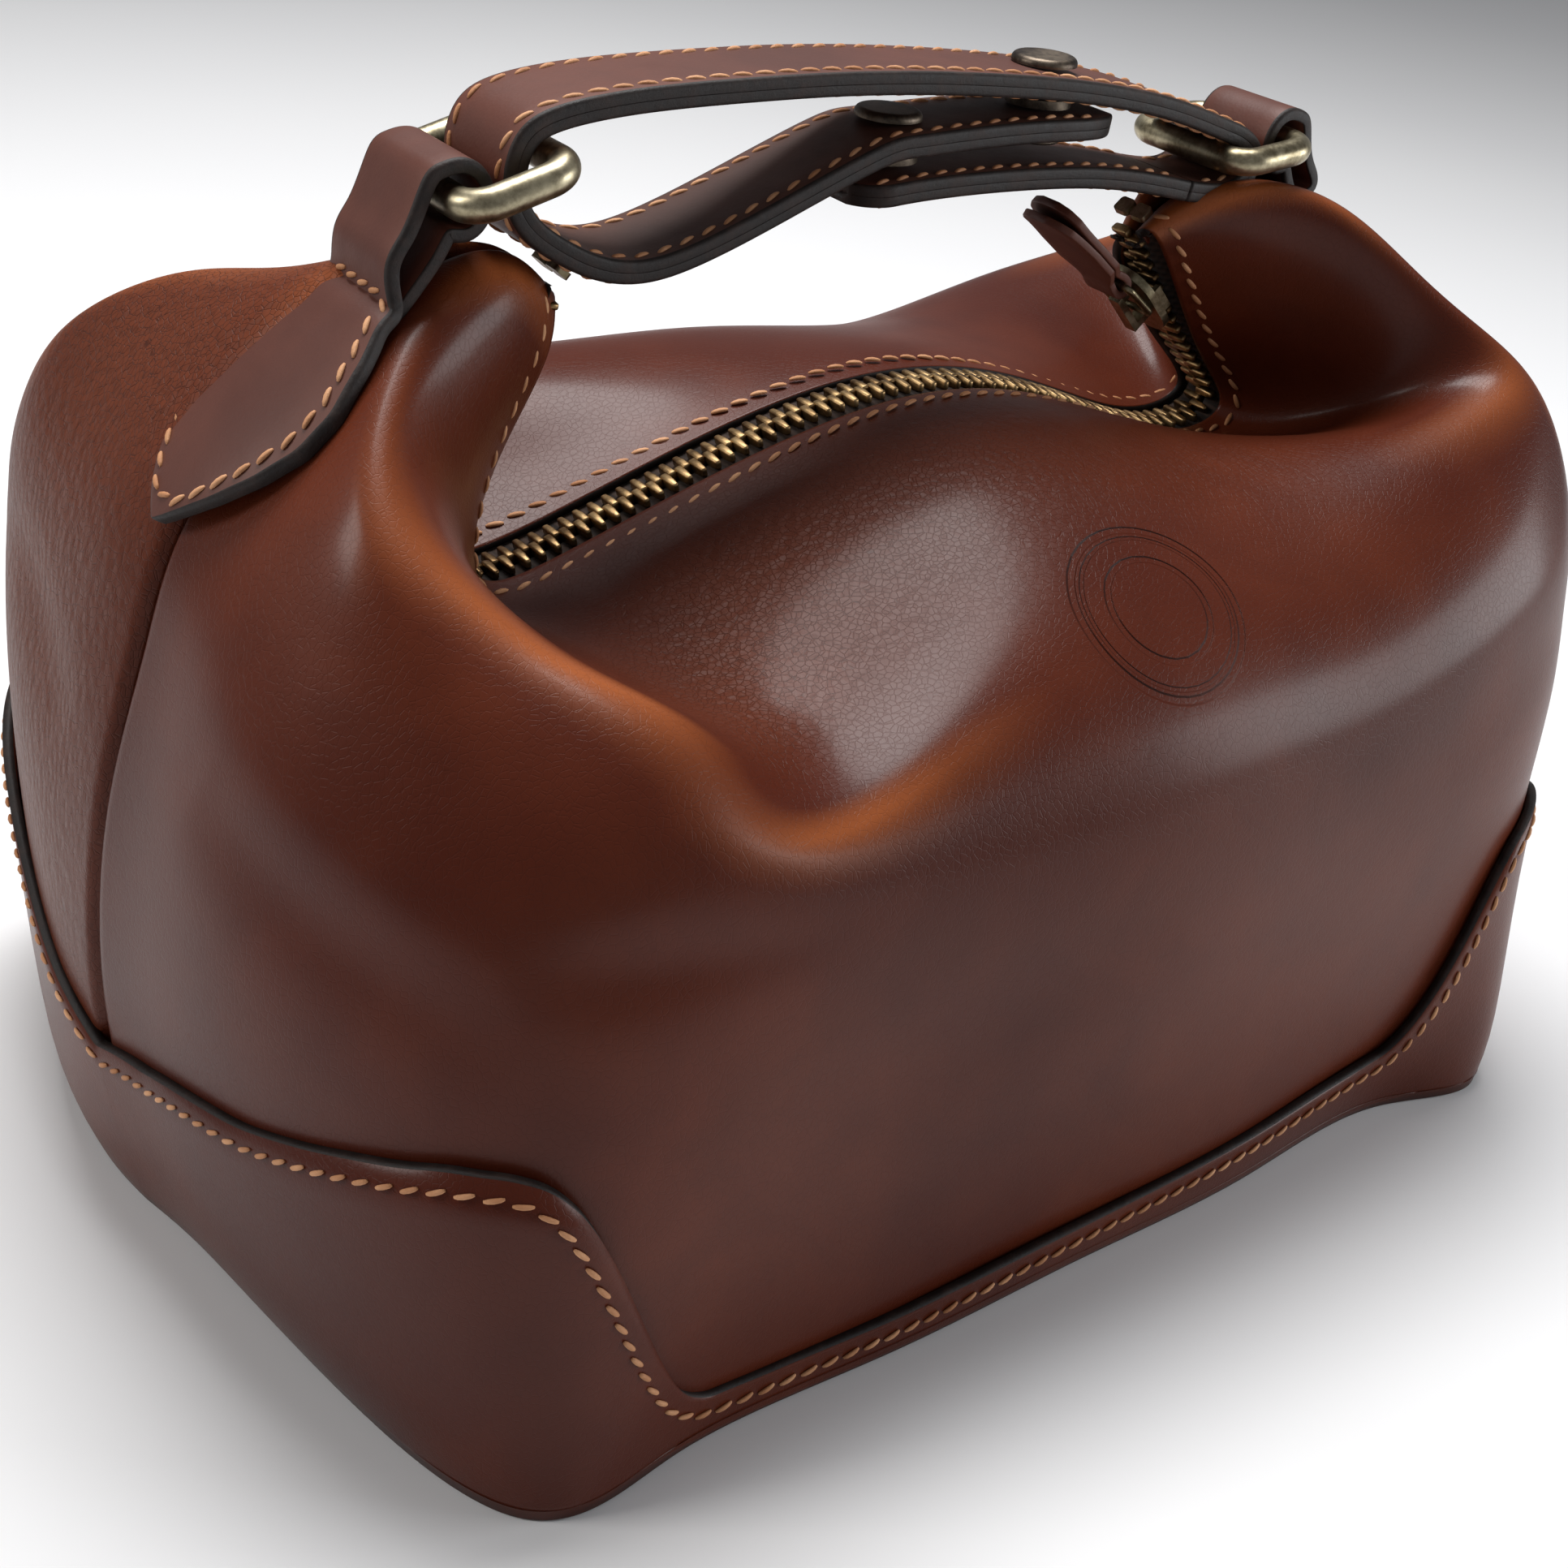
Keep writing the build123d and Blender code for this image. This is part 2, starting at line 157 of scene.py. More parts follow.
class Finish:
    """One node material."""

    def __init__(self, name, **fixed):
        self.material = bpy.data.materials.new(name)
        self.material.use_nodes = True
        self.tree = self.material.node_tree
        self.shader = self.tree.nodes["Principled BSDF"]
        self.place = self.node("ShaderNodeTexCoord").outputs["Object"]
        for socket, value in fixed.items():
            self.shader.inputs[socket.replace("_", " ")].default_value = value

    def node(self, kind, settings=(), inputs=()):
        node = self.tree.nodes.new(kind)
        for key, value in dict(settings).items():
            setattr(node, key, value)
        for key, value in dict(inputs).items():
            if isinstance(value, Value):
                value = value.socket
            if isinstance(value, bpy.types.NodeSocket):
                self.tree.links.new(value, node.inputs[key])
            else:
                node.inputs[key].default_value = value
        return node

    def noise(self, scale, detail, rough, distortion=0):
        node = self.node("ShaderNodeTexNoise", inputs={
            "Vector": self.place, "Scale": scale, "Detail": detail, "Roughness": rough,
            "Distortion": distortion})
        return Value(self, node.outputs[0])

    def cells(self, scale, feature, place=None):
        node = self.node("ShaderNodeTexVoronoi", {"feature": feature}, {
            "Vector": place or self.place, "Scale": scale})
        return Value(self, node.outputs["Distance"])

    def attribute(self, name):
        node = self.node("ShaderNodeAttribute", {"attribute_name": name})
        return Value(self, node.outputs["Fac"])

    def stretched(self, scale):
        """The place on the object, scaled apart along its axes."""
        return self.node("ShaderNodeMapping", {"vector_type": "POINT"},
                         {"Vector": self.place, "Scale": scale}).outputs[0]

    def blend(self, factor, one, other):
        """Colours one to other by factor."""
        node = self.node("ShaderNodeMix", {"data_type": "RGBA"}, {"Factor": factor})
        for key, value in ((6, one), (7, other)):
            if isinstance(value, bpy.types.NodeSocket):
                self.tree.links.new(value, node.inputs[key])
            else:
                node.inputs[key].default_value = (*value, 1)
        return node.outputs[2]

    def bump(self, height, distance, strength=1.0, below=None):
        node = self.node("ShaderNodeBump", inputs={"Height": height, "Distance": distance,
                                                   "Strength": strength})
        if below:
            self.tree.links.new(below, node.inputs["Normal"])
        return node.outputs[0]

    def wire(self, **sockets):
        """Link the shader's named sockets and return the material."""
        for key, value in sockets.items():
            if isinstance(value, Value):
                value = value.socket
            self.tree.links.new(value, self.shader.inputs[key.replace("_", " ")])
        return self.material


def panel_leather():
    """Glossy red-brown hide: fine creased grain with painted shade in the creases, pebbled where it is
    crumpled, worn on the ridges and lit there by a painted highlight.
    """
    hide = Finish("panel_leather", Specular_IOR_Level=0.12, Coat_Roughness=0.22, Coat_IOR=1.45)
    wear_and_highlight = hide.attribute("wear_and_highlight")
    crumple = hide.attribute("crumple")
    cloud = hide.noise(9, 4, 0.6)
    patch = hide.noise(38, 5, 0.6, distortion=0.6)
    fine = hide.noise(420, 4, 0.6)
    grain = hide.noise(1500, 3, 0.6)
    tone = hide.blend(cloud.step(0.32, 0.7), (0.06, 0.0095, 0.0038), (0.122, 0.024, 0.0085))
    tone = hide.blend(patch.step(0.35, 0.75) * 0.45, tone, (0.064, 0.0115, 0.0048))
    tone = hide.blend((crumple * 0.5).clamped(), tone, (0.17, 0.044, 0.017))
    # Sharp ridges turn orange-brown: partly real wear, partly a painted highlight along the ridge.
    tone = hide.blend((wear_and_highlight * (patch * 0.5 + 0.6)).clamped(), tone, (0.42, 0.115, 0.032))
    pebble = hide.cells(620, "SMOOTH_F1", hide.stretched((1, 1, 0.62)))
    crease = hide.cells(900, "DISTANCE_TO_EDGE", hide.stretched((1, 1.1, 0.8)))
    crease_depth = crease.step(0.0, 0.09)
    # Painted shade: the crease valleys are darkened, more where the leather is crumpled.
    crease_shade = (1 - crease.step(0.0, 0.05)) * (crumple * 0.5 + 0.12)
    tone = hide.blend(crease_shade.clamped(), tone, (0.03, 0.008, 0.005))
    low = hide.bump(patch, 0.0005, 0.25)
    mid = hide.bump(pebble * (crumple * 1.5 + 0.05), 0.00045, 0.75, low)
    creased = hide.bump(crease_depth * (crumple * 0.8 + 0.16), 0.00022, 0.6, mid)
    pressed = hide.bump(stamp_relief(hide), 0.0009, 1.0, creased)
    top = hide.bump(grain * 0.6 + fine * 0.4, 0.00006, 0.6, pressed)
    rough = 0.3 + cloud * 0.12 + crumple * 0.12 + patch * 0.06
    coat = (0.26 - crumple * 0.14) * (0.6 + cloud * 0.5)
    return hide.wire(Base_Color=tone, Roughness=rough, Coat_Weight=coat, Normal=top)


STAMP_U, STAMP_V = 6.25, 5.1
STAMP_RINGS = ((16.2, 0.9), (14.4, 0.5), (9.8, 0.8))    # radius and width, in millimetres


def stamp_relief(hide):
    """A plain round stamp pressed into the front: three concentric rings."""
    away = hide.attribute("from_stamp") * (1 / MM)
    relief = 1
    for radius, width in STAMP_RINGS:
        relief = relief - (1 - (away - radius).size().step(width * 0.5, width)) * 0.8
    return relief


def smooth_leather(name, dark, light, worn):
    """Matte smooth hide of the strap and the tabs."""
    hide = Finish(name, Specular_IOR_Level=0.35, Coat_Weight=0.04, Coat_Roughness=0.35)
    wear_and_highlight = hide.attribute("wear_and_highlight")
    cloud = hide.noise(22, 4, 0.6)
    patch = hide.noise(160, 5, 0.65)
    grain = hide.noise(2300, 3, 0.6)
    pore = hide.cells(1600, "F1")
    tone = hide.blend(cloud.step(0.3, 0.72), dark, light)
    tone = hide.blend(patch.step(0.4, 0.8) * 0.4, tone, dark)
    tone = hide.blend((wear_and_highlight * (0.5 + patch)).clamped(), tone, worn)
    body = hide.bump(patch, 0.00025, 0.4)
    top = hide.bump(grain * 0.5 + pore * 0.5, 0.00005, 0.6, body)
    return hide.wire(Base_Color=tone, Roughness=0.44 + patch * 0.2, Normal=top)


def painted_edge():
    """Black-brown burnished edge paint with a rough, slightly chipped face."""
    paint = Finish("painted_edge", Specular_IOR_Level=0.35)
    patch = paint.noise(260, 5, 0.7)
    grain = paint.noise(1700, 4, 0.7)
    tone = paint.blend(patch.step(0.4, 0.75), (0.012, 0.008, 0.007), (0.035, 0.02, 0.016))
    top = paint.bump(grain * 0.5 + patch, 0.00018, 0.8)
    return paint.wire(Base_Color=tone, Roughness=0.42 + patch * 0.3, Normal=top)


def waxed_thread():
    """Tan waxed thread, twisted, darker where it is soiled."""
    thread = Finish("waxed_thread", Specular_IOR_Level=0.3)
    soil = thread.noise(55, 4, 0.6)
    fibre = thread.noise(2600, 3, 0.6)
    tone = thread.blend(soil.step(0.35, 0.7), (0.46, 0.2, 0.085), (0.78, 0.42, 0.22))
    tone = thread.blend(fibre * 0.35, tone, (0.25, 0.1, 0.045))
    return thread.wire(Base_Color=tone, Roughness=0.5 + fibre * 0.25, Normal=thread.bump(fibre, 0.0001, 0.7))


def antique_brass(name, dark, bright, rough):
    """Aged brass, brown in the hollows and bright where it rubs."""
    metal = Finish(name, Metallic=1.0)
    patch = metal.noise(120, 5, 0.65)
    speck = metal.noise(900, 4, 0.7)
    tone = metal.blend((patch * 0.7 + speck * 0.3).step(0.36, 0.66), dark, bright)
    top = metal.bump(speck, 0.00004, 0.5)
    return metal.wire(Base_Color=tone, Roughness=rough + patch * 0.16 + speck * 0.06, Normal=top)


WAVES_PER_SCALE = 6.5


def woven(name, dark, light, pitch):
    """A plain weave of round yarns, pitch metres apart."""
    cloth = Finish(name, Specular_IOR_Level=0.2, Sheen_Weight=0.15)
    waves = []
    for direction in ("X", "Z"):
        node = cloth.node("ShaderNodeTexWave", {"wave_type": "BANDS", "bands_direction": direction},
                          {"Vector": cloth.place, "Scale": 1 / pitch / WAVES_PER_SCALE, "Distortion": 0.6})
        waves.append(Value(cloth, node.outputs["Fac"]))
    yarn = waves[0] * 0.5 + waves[1] * 0.5
    soil = cloth.noise(60, 4, 0.6)
    tone = cloth.blend((yarn * 0.6 + soil * 0.4).step(0.25, 0.75), dark, light)
    return cloth.wire(Base_Color=tone, Roughness=0.8 + soil * 0.1, Normal=cloth.bump(yarn, 0.0002, 0.8))


def pressed_board():
    """Brown fibre board."""
    board = Finish("pressed_board", Specular_IOR_Level=0.2)
    fibre = board.noise(700, 5, 0.7)
    speck = board.noise(90, 4, 0.6)
    tone = board.blend((fibre * 0.5 + speck * 0.5).step(0.35, 0.7), (0.06, 0.05, 0.04), (0.14, 0.12, 0.1))
    return board.wire(Base_Color=tone, Roughness=0.8 + speck * 0.1, Normal=board.bump(fibre, 0.0002, 0.6))


def pale_floor():
    """Matt pale grey, a little uneven."""
    sweep = Finish("pale_floor", Roughness=0.75, Specular_IOR_Level=0.2)
    cloud = sweep.noise(3, 2, 0.5)
    return sweep.wire(Base_Color=sweep.blend(cloud, (0.8, 0.8, 0.81), (0.84, 0.84, 0.84)))


# The panels. Each is a net of points, column by column from the end seam to the middle
# of a long side, and along each column from the floor to the zip edge. A point is its distance from
# the middle of the bag along X, its distance from the middle plane and its height, in millimetres.

# The left end's seam, pulled inwards by its tab.
PULLED_SEAM = ((136, 0, 0), (140, 0, 16), (143.5, 0, 48), (141, 0, 82), (134, 0, 108), (126, 0, 129),
               (109, 0, 148), (91, 0, 161), (76, 0, 164.5), (66, 1, 158.5))
# The right end, where the zip closes and the ear stands full.
FULL_EAR = (
    ((134, 0, 0), (139, 0, 16), (143, 0, 48), (141, 0, 82), (134, 0, 108), (124, 0, 131),
     (104, 0, 153), (84, 0, 164.5), (67, 0, 162.8), (58.5, 1, 156.5)),
    ((132, 16, 0), (137, 16, 16), (141, 16, 48), (139, 15, 82), (134, 15, 109), (126, 15, 132),
     (110, 14, 154), (88, 12, 168), (70, 8, 163), (62, 5, 149)),
    ((127, 46, 0), (132, 45, 16), (136, 44, 48), (136, 42, 82), (133, 40, 110), (127, 38, 134),
     (113, 34, 152), (98, 25, 157), (86, 13, 142), (77, 5, 133)),
    ((114, 90, 0), (117, 88, 16), (121, 80, 48), (123, 75, 82), (123, 70, 108), (123, 62, 127),
     (116, 51, 140), (104, 37, 134), (95, 18, 123), (88, 6, 121)),
    ((86, 88, 0), (88, 89, 16), (90, 89, 48), (90, 87, 82), (90, 82, 105), (88, 72, 121),
     (84, 56, 130), (80, 38, 128), (76, 18, 121), (72, 6, 118)),
    ((44, 90, 0), (45, 91, 16), (46, 90, 48), (46, 88.5, 80), (46, 83, 102), (46, 70, 116),
     (45, 52, 124), (44, 34, 128), (42, 17, 129), (40, 6, 128.5)),
)
# The left end's front, pulled into one long fold.
PULLED_FRONT = (
    PULLED_SEAM,
    ((132, 16, 0), (137, 16, 16), (141, 16, 48), (139, 15, 82), (133, 15, 108), (125, 14, 128),
     (110, 14, 146), (94, 12, 158), (78, 9, 158), (69, 5, 148)),
    ((127, 46, 0), (132, 45, 16), (136, 44, 48), (135, 43, 82), (130, 41, 107), (121, 40, 125),
     (113, 36, 139), (102, 28, 142.5), (88, 16, 134.5), (77, 5, 131)),
    ((114, 90, 0), (116, 88, 16), (120, 80, 48), (119, 75, 82), (114, 70, 103), (107, 63, 117),
     (99.5, 53, 127), (91, 43, 123), (84, 22, 113.5), (80, 6, 113.5)),
    ((86, 92, 0), (88, 92, 16), (91, 91, 48), (91, 88, 78), (90, 84, 97), (86.5, 78, 111),
     (79, 67, 117), (70.5, 50, 110), (66, 24, 112), (66, 6, 113.5)),
    ((44, 92, 0), (46, 92, 16), (48, 90, 48), (50, 88.5, 76), (53, 87, 91), (57, 81, 102.5),
     (53, 67, 106.5), (46, 45, 113.5), (42, 20, 120), (41, 6, 122)),
)
# The left end's back, which stays rounder.
PULLED_BACK = (
    PULLED_SEAM,
    ((138, 16, 0), (142, 16, 16), (144, 16, 48), (142, 15, 82), (137, 15, 108), (129, 14, 130),
     (114, 13, 149), (97, 10, 161), (79, 7, 159), (69, 5, 148)),
    ((134, 46, 0), (138, 46, 16), (140, 46, 48), (140, 45, 82), (136, 43, 109), (129, 40, 131),
     (114, 38, 150), (100, 30, 150), (87, 16, 137), (77, 5, 131)),
    ((116, 90, 0), (119, 90, 16), (125, 87, 48), (127, 81, 82), (128, 74, 106), (126, 66, 125),
     (119, 56, 138), (105, 42, 135), (92, 20, 120), (80, 6, 113.5)),
    ((86, 90, 0), (88, 91, 16), (92, 91, 48), (94, 90, 82), (94, 86, 104), (91, 76, 120),
     (86, 62, 130), (78, 42, 128), (71, 20, 118), (66, 6, 113.5)),
    ((44, 90, 0), (45, 91, 16), (46, 90, 48), (46, 89, 80), (46, 84, 102), (46, 72, 117),
     (45, 54, 127), (44, 34, 130), (42, 17, 125), (41, 6, 122)),
)
# The right end's front, with a raised lip along the zip.
RAISED_LIP = (
    FULL_EAR[0],
    ((132, 16, 0), (137, 16, 16), (141, 16, 48), (139, 15, 82), (134, 15, 109), (126, 15, 132),
     (108, 15, 153), (86, 14, 167.5), (69, 12.5, 166), (60, 7, 156.5)),
    ((127, 46, 0), (132, 45, 16), (136, 44, 48), (136, 42, 82), (133, 40, 110), (127, 38, 134),
     (111, 34, 150), (95, 27, 159.5), (84, 17, 149), (77, 6, 135)),
    *FULL_EAR[3:],
)
# The middle columns.
FRONT_MIDDLE = ((0, 91, 0), (0, 92, 16), (0, 91, 48), (0, 89, 80), (0, 83, 101), (0, 70, 115),
                (0, 52, 124), (0, 34, 129.5), (0, 17, 132.5), (0, 6, 133))
BACK_MIDDLE = ((0, 90, 0), (0, 91, 16), (0, 91, 48), (0, 89, 80), (0, 84, 102), (0, 71, 117),
               (0, 53, 127), (0, 34, 132), (0, 17, 134), (0, 6, 133))


def through(points):
    """The control points of the uniform cubic B-spline that passes through the points (rows)."""
    count = len(points)
    system = np.zeros((count + 2, count + 2))
    known = np.zeros((count + 2, points.shape[1]))
    for row in range(count):
        system[row + 1, row:row + 3] = (1 / 6, 4 / 6, 1 / 6)
        known[row + 1] = points[row]
    system[0, :3] = system[-1, -3:] = (1, -2, 1)
    return np.linalg.solve(system, known)


def weights(places, count):
    """Matrix that evaluates such a spline, with count points, at places from 0 to count - 1."""
    matrix = np.zeros((len(places), count + 2))
    for row, place in enumerate(places):
        first = min(int(place), count - 2)
        t = place - first
        matrix[row, first:first + 4] = (
            (1 - t) ** 3 / 6, (3 * t ** 3 - 6 * t ** 2 + 4) / 6,
            (-3 * t ** 3 + 3 * t ** 2 + 3 * t + 1) / 6, t ** 3 / 6)
    return matrix


class Panel:
    """One side of the bag as a smooth surface over u (0 to 12, left to right) and v (0 to 9, up)."""

    def __init__(self, facing, left, middle, right):
        self.facing = facing
        columns = [[(-x, facing * y, z) for x, y, z in column] for column in left]
        columns.append([(x, facing * y, z) for x, y, z in middle])
        columns += [[(x, facing * y, z) for x, y, z in column] for column in reversed(right)]
        net = np.array(columns, float) * MM
        self.columns, self.rows = net.shape[:2]
        across = through(net.reshape(self.columns, -1)).reshape(self.columns + 2, self.rows, 3)
        self.net = np.stack([through(column) for column in across])

    def grid(self, us, vs):
        """Points for every u and v."""
        return np.einsum("ai,bj,ijk->abk", weights(us, self.columns), weights(vs, self.rows), self.net)

    def at(self, us, vs):
        """Points for pairs of u and v."""
        wu, wv = weights(us, self.columns), weights(vs, self.rows)
        return np.einsum("ai,aj,ijk->ak", wu, wv, self.net, optimize=True)

    def normals(self, us, vs):
        """Outward unit normals for pairs of u and v."""
        step = 0.02
        us = np.clip(us, step, self.columns - 1 - step)
        vs = np.clip(vs, step, self.rows - 1 - step)
        along = self.at(us + step, vs) - self.at(us - step, vs)
        rise = self.at(us, vs + step) - self.at(us, vs - step)
        out = np.cross(along, rise) * -self.facing
        return out / np.linalg.norm(out, axis=1, keepdims=True)


PANELS = {
    "front": Panel(-1, PULLED_FRONT, FRONT_MIDDLE, RAISED_LIP),
    "back": Panel(1, PULLED_BACK, BACK_MIDDLE, FULL_EAR),
}
LAST_U = 12.0
LAST_V = 9.0


def mesh_piece(name, points, faces, materials, smooth=True):
    """A new mesh object from points and faces."""
    mesh = bpy.data.meshes.new(name)
    mesh.from_pydata(np.asarray(points).tolist(), [], [[int(corner) for corner in face] for face in faces])
    for material in materials:
        mesh.materials.append(material)
    piece = bpy.data.objects.new(name, mesh)
    bpy.context.collection.objects.link(piece)
    if smooth:
        mesh.shade_smooth()
    return piece


def grid_faces(across, up, loop=False):
    """Quads of a grid of across by up points, numbered up first. A loop joins the last row to the first."""
    start = (np.arange(across - (0 if loop else 1))[:, None] * up + np.arange(up - 1)[None, :]).ravel()
    beyond = (start + up) % (across * up)
    return np.stack([start, beyond, beyond + 1, start + 1], axis=1)


def side_faces(panel, across, up):
    """Quads of a grid over one side of the bag, facing outwards."""
    faces = grid_faces(across, up)
    return faces[:, ::-1] if panel.facing > 0 else faces


def pairs(us, vs):
    """u and v of every grid point, in grid_faces' order."""
    return [values.ravel() for values in np.meshgrid(us, vs, indexing="ij")]


def select_only(piece):
    bpy.ops.object.select_all(action="DESELECT")
    bpy.context.view_layer.objects.active = piece
    piece.select_set(True)


def solidify(piece, thickness, offset, **settings):
    """Give a surface its wall thickness: offset -1 is inwards, 0 both ways, 1 outwards."""
    select_only(piece)
    modifier = piece.modifiers.new("solidify", "SOLIDIFY")
    modifier.thickness = thickness
    modifier.offset = offset
    for key, value in settings.items():
        setattr(modifier, key, value)
    bpy.ops.object.modifier_apply(modifier=modifier.name)


def set_attribute(piece, name, values):
    layer = piece.data.attributes.new(name, "FLOAT", "POINT")
    layer.data.foreach_set("value", np.asarray(values, np.float32))


def finish_piece(piece, body, slot, *nodes):
    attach(piece, body)
    if nodes:
        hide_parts(*nodes)


def unit(vectors):
    return vectors / (np.linalg.norm(vectors, axis=-1, keepdims=True) + 1e-12)


RIPPLE_WAVES = ((41, 13, 29, 0.4), (-23, 37, 53, 1.7), (67, -31, 17, 2.9), (19, 71, -43, 4.2))
RIPPLE_HEIGHT = 0.22 * MM


def ripple(points):
    """Slow unevenness of soft leather, in metres, from a few fixed waves."""
    total = np.zeros(len(points))
    for x, y, z, phase in RIPPLE_WAVES:
        total += np.sin(points @ np.array((x, y, z)) + phase)
    return total * RIPPLE_HEIGHT


def hump(values, middle, width):
    return np.exp(-((values - middle) / width) ** 2)


# Soft creases pressed into a side: u and v of the start and of the end, depth in millimetres, and
# width in u and v.
CREASES = {
    "front": ((1.5, 3.6, 3.3, 2.9, 1.6, 0.30), (3.2, 3.3, 4.7, 3.9, 1.3, 0.34),
              (4.4, 2.0, 6.2, 2.7, 0.9, 0.4), (7.4, 3.1, 9.0, 3.9, 1.0, 0.4),
              (9.3, 2.4, 10.8, 3.4, 1.2, 0.34)),
    "back": ((1.0, 3.2, 2.6, 4.0, 1.4, 0.3), (3.4, 2.7, 5.2, 3.3, 1.1, 0.4), (6.6, 3.6, 8.4, 2.8, 1.1, 0.4),
             (8.9, 3.2, 10.6, 2.5, 1.3, 0.34)),
}


def creased(name, us, vs):
    """Depth of the creases at each u and v, in metres."""
    depth = np.zeros(len(us))
    for u0, v0, u1, v1, deep, wide in CREASES[name]:
        along, rise = u1 - u0, v1 - v0
        place = np.clip(((us - u0) * along + (vs - v0) * rise) / (along ** 2 + rise ** 2), 0, 1)
        away = np.hypot(us - u0 - along * place, vs - v0 - rise * place)
        depth += hump(away, 0, wide) * np.sin(math.pi * np.clip(place * 0.9 + 0.05, 0, 1)) * deep * MM
    return depth


def fold_of(points, normals):
    """How sharply a grid of points folds outwards, per metre."""
    bend = np.zeros(points.shape[:2])
    for axis in (0, 1):
        ahead = np.roll(points, -1, axis) - points
        behind = points - np.roll(points, 1, axis)
        length = (np.linalg.norm(ahead, axis=2) + np.linalg.norm(behind, axis=2)) / 2 + 1e-6
        fold = -((unit(ahead) - unit(behind)) * normals).sum(2) / length
        fold[[0, -1]] = 0
        fold[:, [0, -1]] = 0
        bend = np.maximum(bend, fold)
    return bend


PANEL_ACROSS, PANEL_UP = 225, 165
PANEL_FOOT = 0.12            # v of the panels' lower edge, under the trim
PANEL_THICK = 1.8 * MM
SEAM_WIDTH = 0.1             # in u
SEAM_DENT = 2.2 * MM
WEAR_AND_HIGHLIGHT_FROM, WEAR_AND_HIGHLIGHT_SPAN = 30, 90    # fold sharpness, per metre, over which a ridge is worn and given a painted highlight
WEAR_AND_HIGHLIGHT_MOST = 0.85
NO_STAMP = 1.0               # a distance from the stamp that is far outside its rings


def crumple_of(name, us, vs):
    """Where the leather is pebbled: the back's pulled end, and two places under the front's zip."""
    if name == "back":
        return hump(us, 1.7, 1.7) * np.clip(vs / 3, 0, 1)
    by_fold = hump(us, 4.6, 0.9) * hump(vs, 7.0, 0.9)
    by_zip = hump(us, 6.2, 1.6) * hump(vs, 7.2, 1.2)
    return 0.6 * by_fold + 0.4 * by_zip


def distance_from_stamp(panel, points):
    centre = panel.at(np.array([STAMP_U]), np.array([STAMP_V]))[0]
    return np.linalg.norm((points - centre) * (1, 1, 0.96), axis=1)


def make_panels(hide, edge):
    for name, panel in PANELS.items():
        us, vs = np.linspace(0, LAST_U, PANEL_ACROSS), np.linspace(PANEL_FOOT, LAST_V, PANEL_UP)
        points = panel.grid(us, vs)
        flat_u, flat_v = pairs(us, vs)
        normals = panel.normals(flat_u, flat_v)
        bend = fold_of(points, normals.reshape(points.shape)).ravel()
        flat = points.reshape(-1, 3)
        seam = hump(np.minimum(flat_u, LAST_U - flat_u), 0, SEAM_WIDTH)
        swell = (ripple(flat) - creased(name, flat_u, flat_v)) * (1 - seam) - seam * SEAM_DENT
        flat = flat + normals * swell[:, None]
        faces = side_faces(panel, PANEL_ACROSS, PANEL_UP)
        piece = mesh_piece(f"{name}_panel_leather", flat, faces, [hide, edge])
        stamp = distance_from_stamp(panel, flat) if name == "front" else np.full(len(flat), NO_STAMP)
        # Sharp outward folds get wear and a painted ridge highlight.
        set_attribute(piece, "wear_and_highlight", np.clip((bend - WEAR_AND_HIGHLIGHT_FROM) / WEAR_AND_HIGHLIGHT_SPAN, 0, 1) * WEAR_AND_HIGHLIGHT_MOST)
        set_attribute(piece, "crumple", crumple_of(name, flat_u, flat_v))
        set_attribute(piece, "from_stamp", stamp)
        solidify(piece, PANEL_THICK, -1, use_rim=True, material_offset_rim=1)
        finish_piece(piece, "bag", "panel_leather", f"{name}_panel")


# Border height of the bottom trim, in millimetres, at each u.
TRIM_U = (0, 1, 2, 2.6, 3, 3.3, 3.5, 3.68, 3.82, 3.94, 4.1, 4.4, 5, 6, 7, 7.6, 7.9, 8.08, 8.24, 8.42, 8.7, 9,
          10, 11, 12)
TRIM_Z = (37, 42, 50, 58, 62, 62, 59.5, 51, 35, 17, 9.5, 8.5, 8.5, 10, 12.5, 14, 16, 27, 46, 57, 61, 62,
          50, 42, 37)
TRIM_ACROSS, TRIM_UP = 420, 11
TRIM_FOOT = 0.03             # v of the trim's lowest row
TRIM_PROUD = 2.0 * MM        # how far its face stands outside the panels' net
TRIM_THICK = 1.9 * MM
# Rows that turn the trim under the bag: how far each shrinks towards the middle, and its height.
TRIM_UNDER = ((0.9985, 0.6 * MM), (0.992, 0.1 * MM), (0.975, 0), (0.8, 0), (0.4, 0))


def border_v(panel, us):
    """The v at which the panel reaches the trim's border height, for each u."""
    steps = np.linspace(0, 5, 160)
    heights = panel.grid(us, steps)[:, :, 2]
    wanted = np.interp(us, TRIM_U, TRIM_Z)
    wanted = np.convolve(np.pad(wanted, 3, "edge"), np.ones(7) / 7, "valid") * MM
    return np.array([np.interp(w, h, steps) for w, h in zip(wanted, heights)])


def trim_border():
    """u and v of the trim's border, and their panel: along the front, then back again."""
    us = np.linspace(0, LAST_U, TRIM_ACROSS)
    front, back = PANELS["front"], PANELS["back"]
    return [(us, border_v(front, us), front), (us[::-1][1:-1], border_v(back, us)[::-1][1:-1], back)]


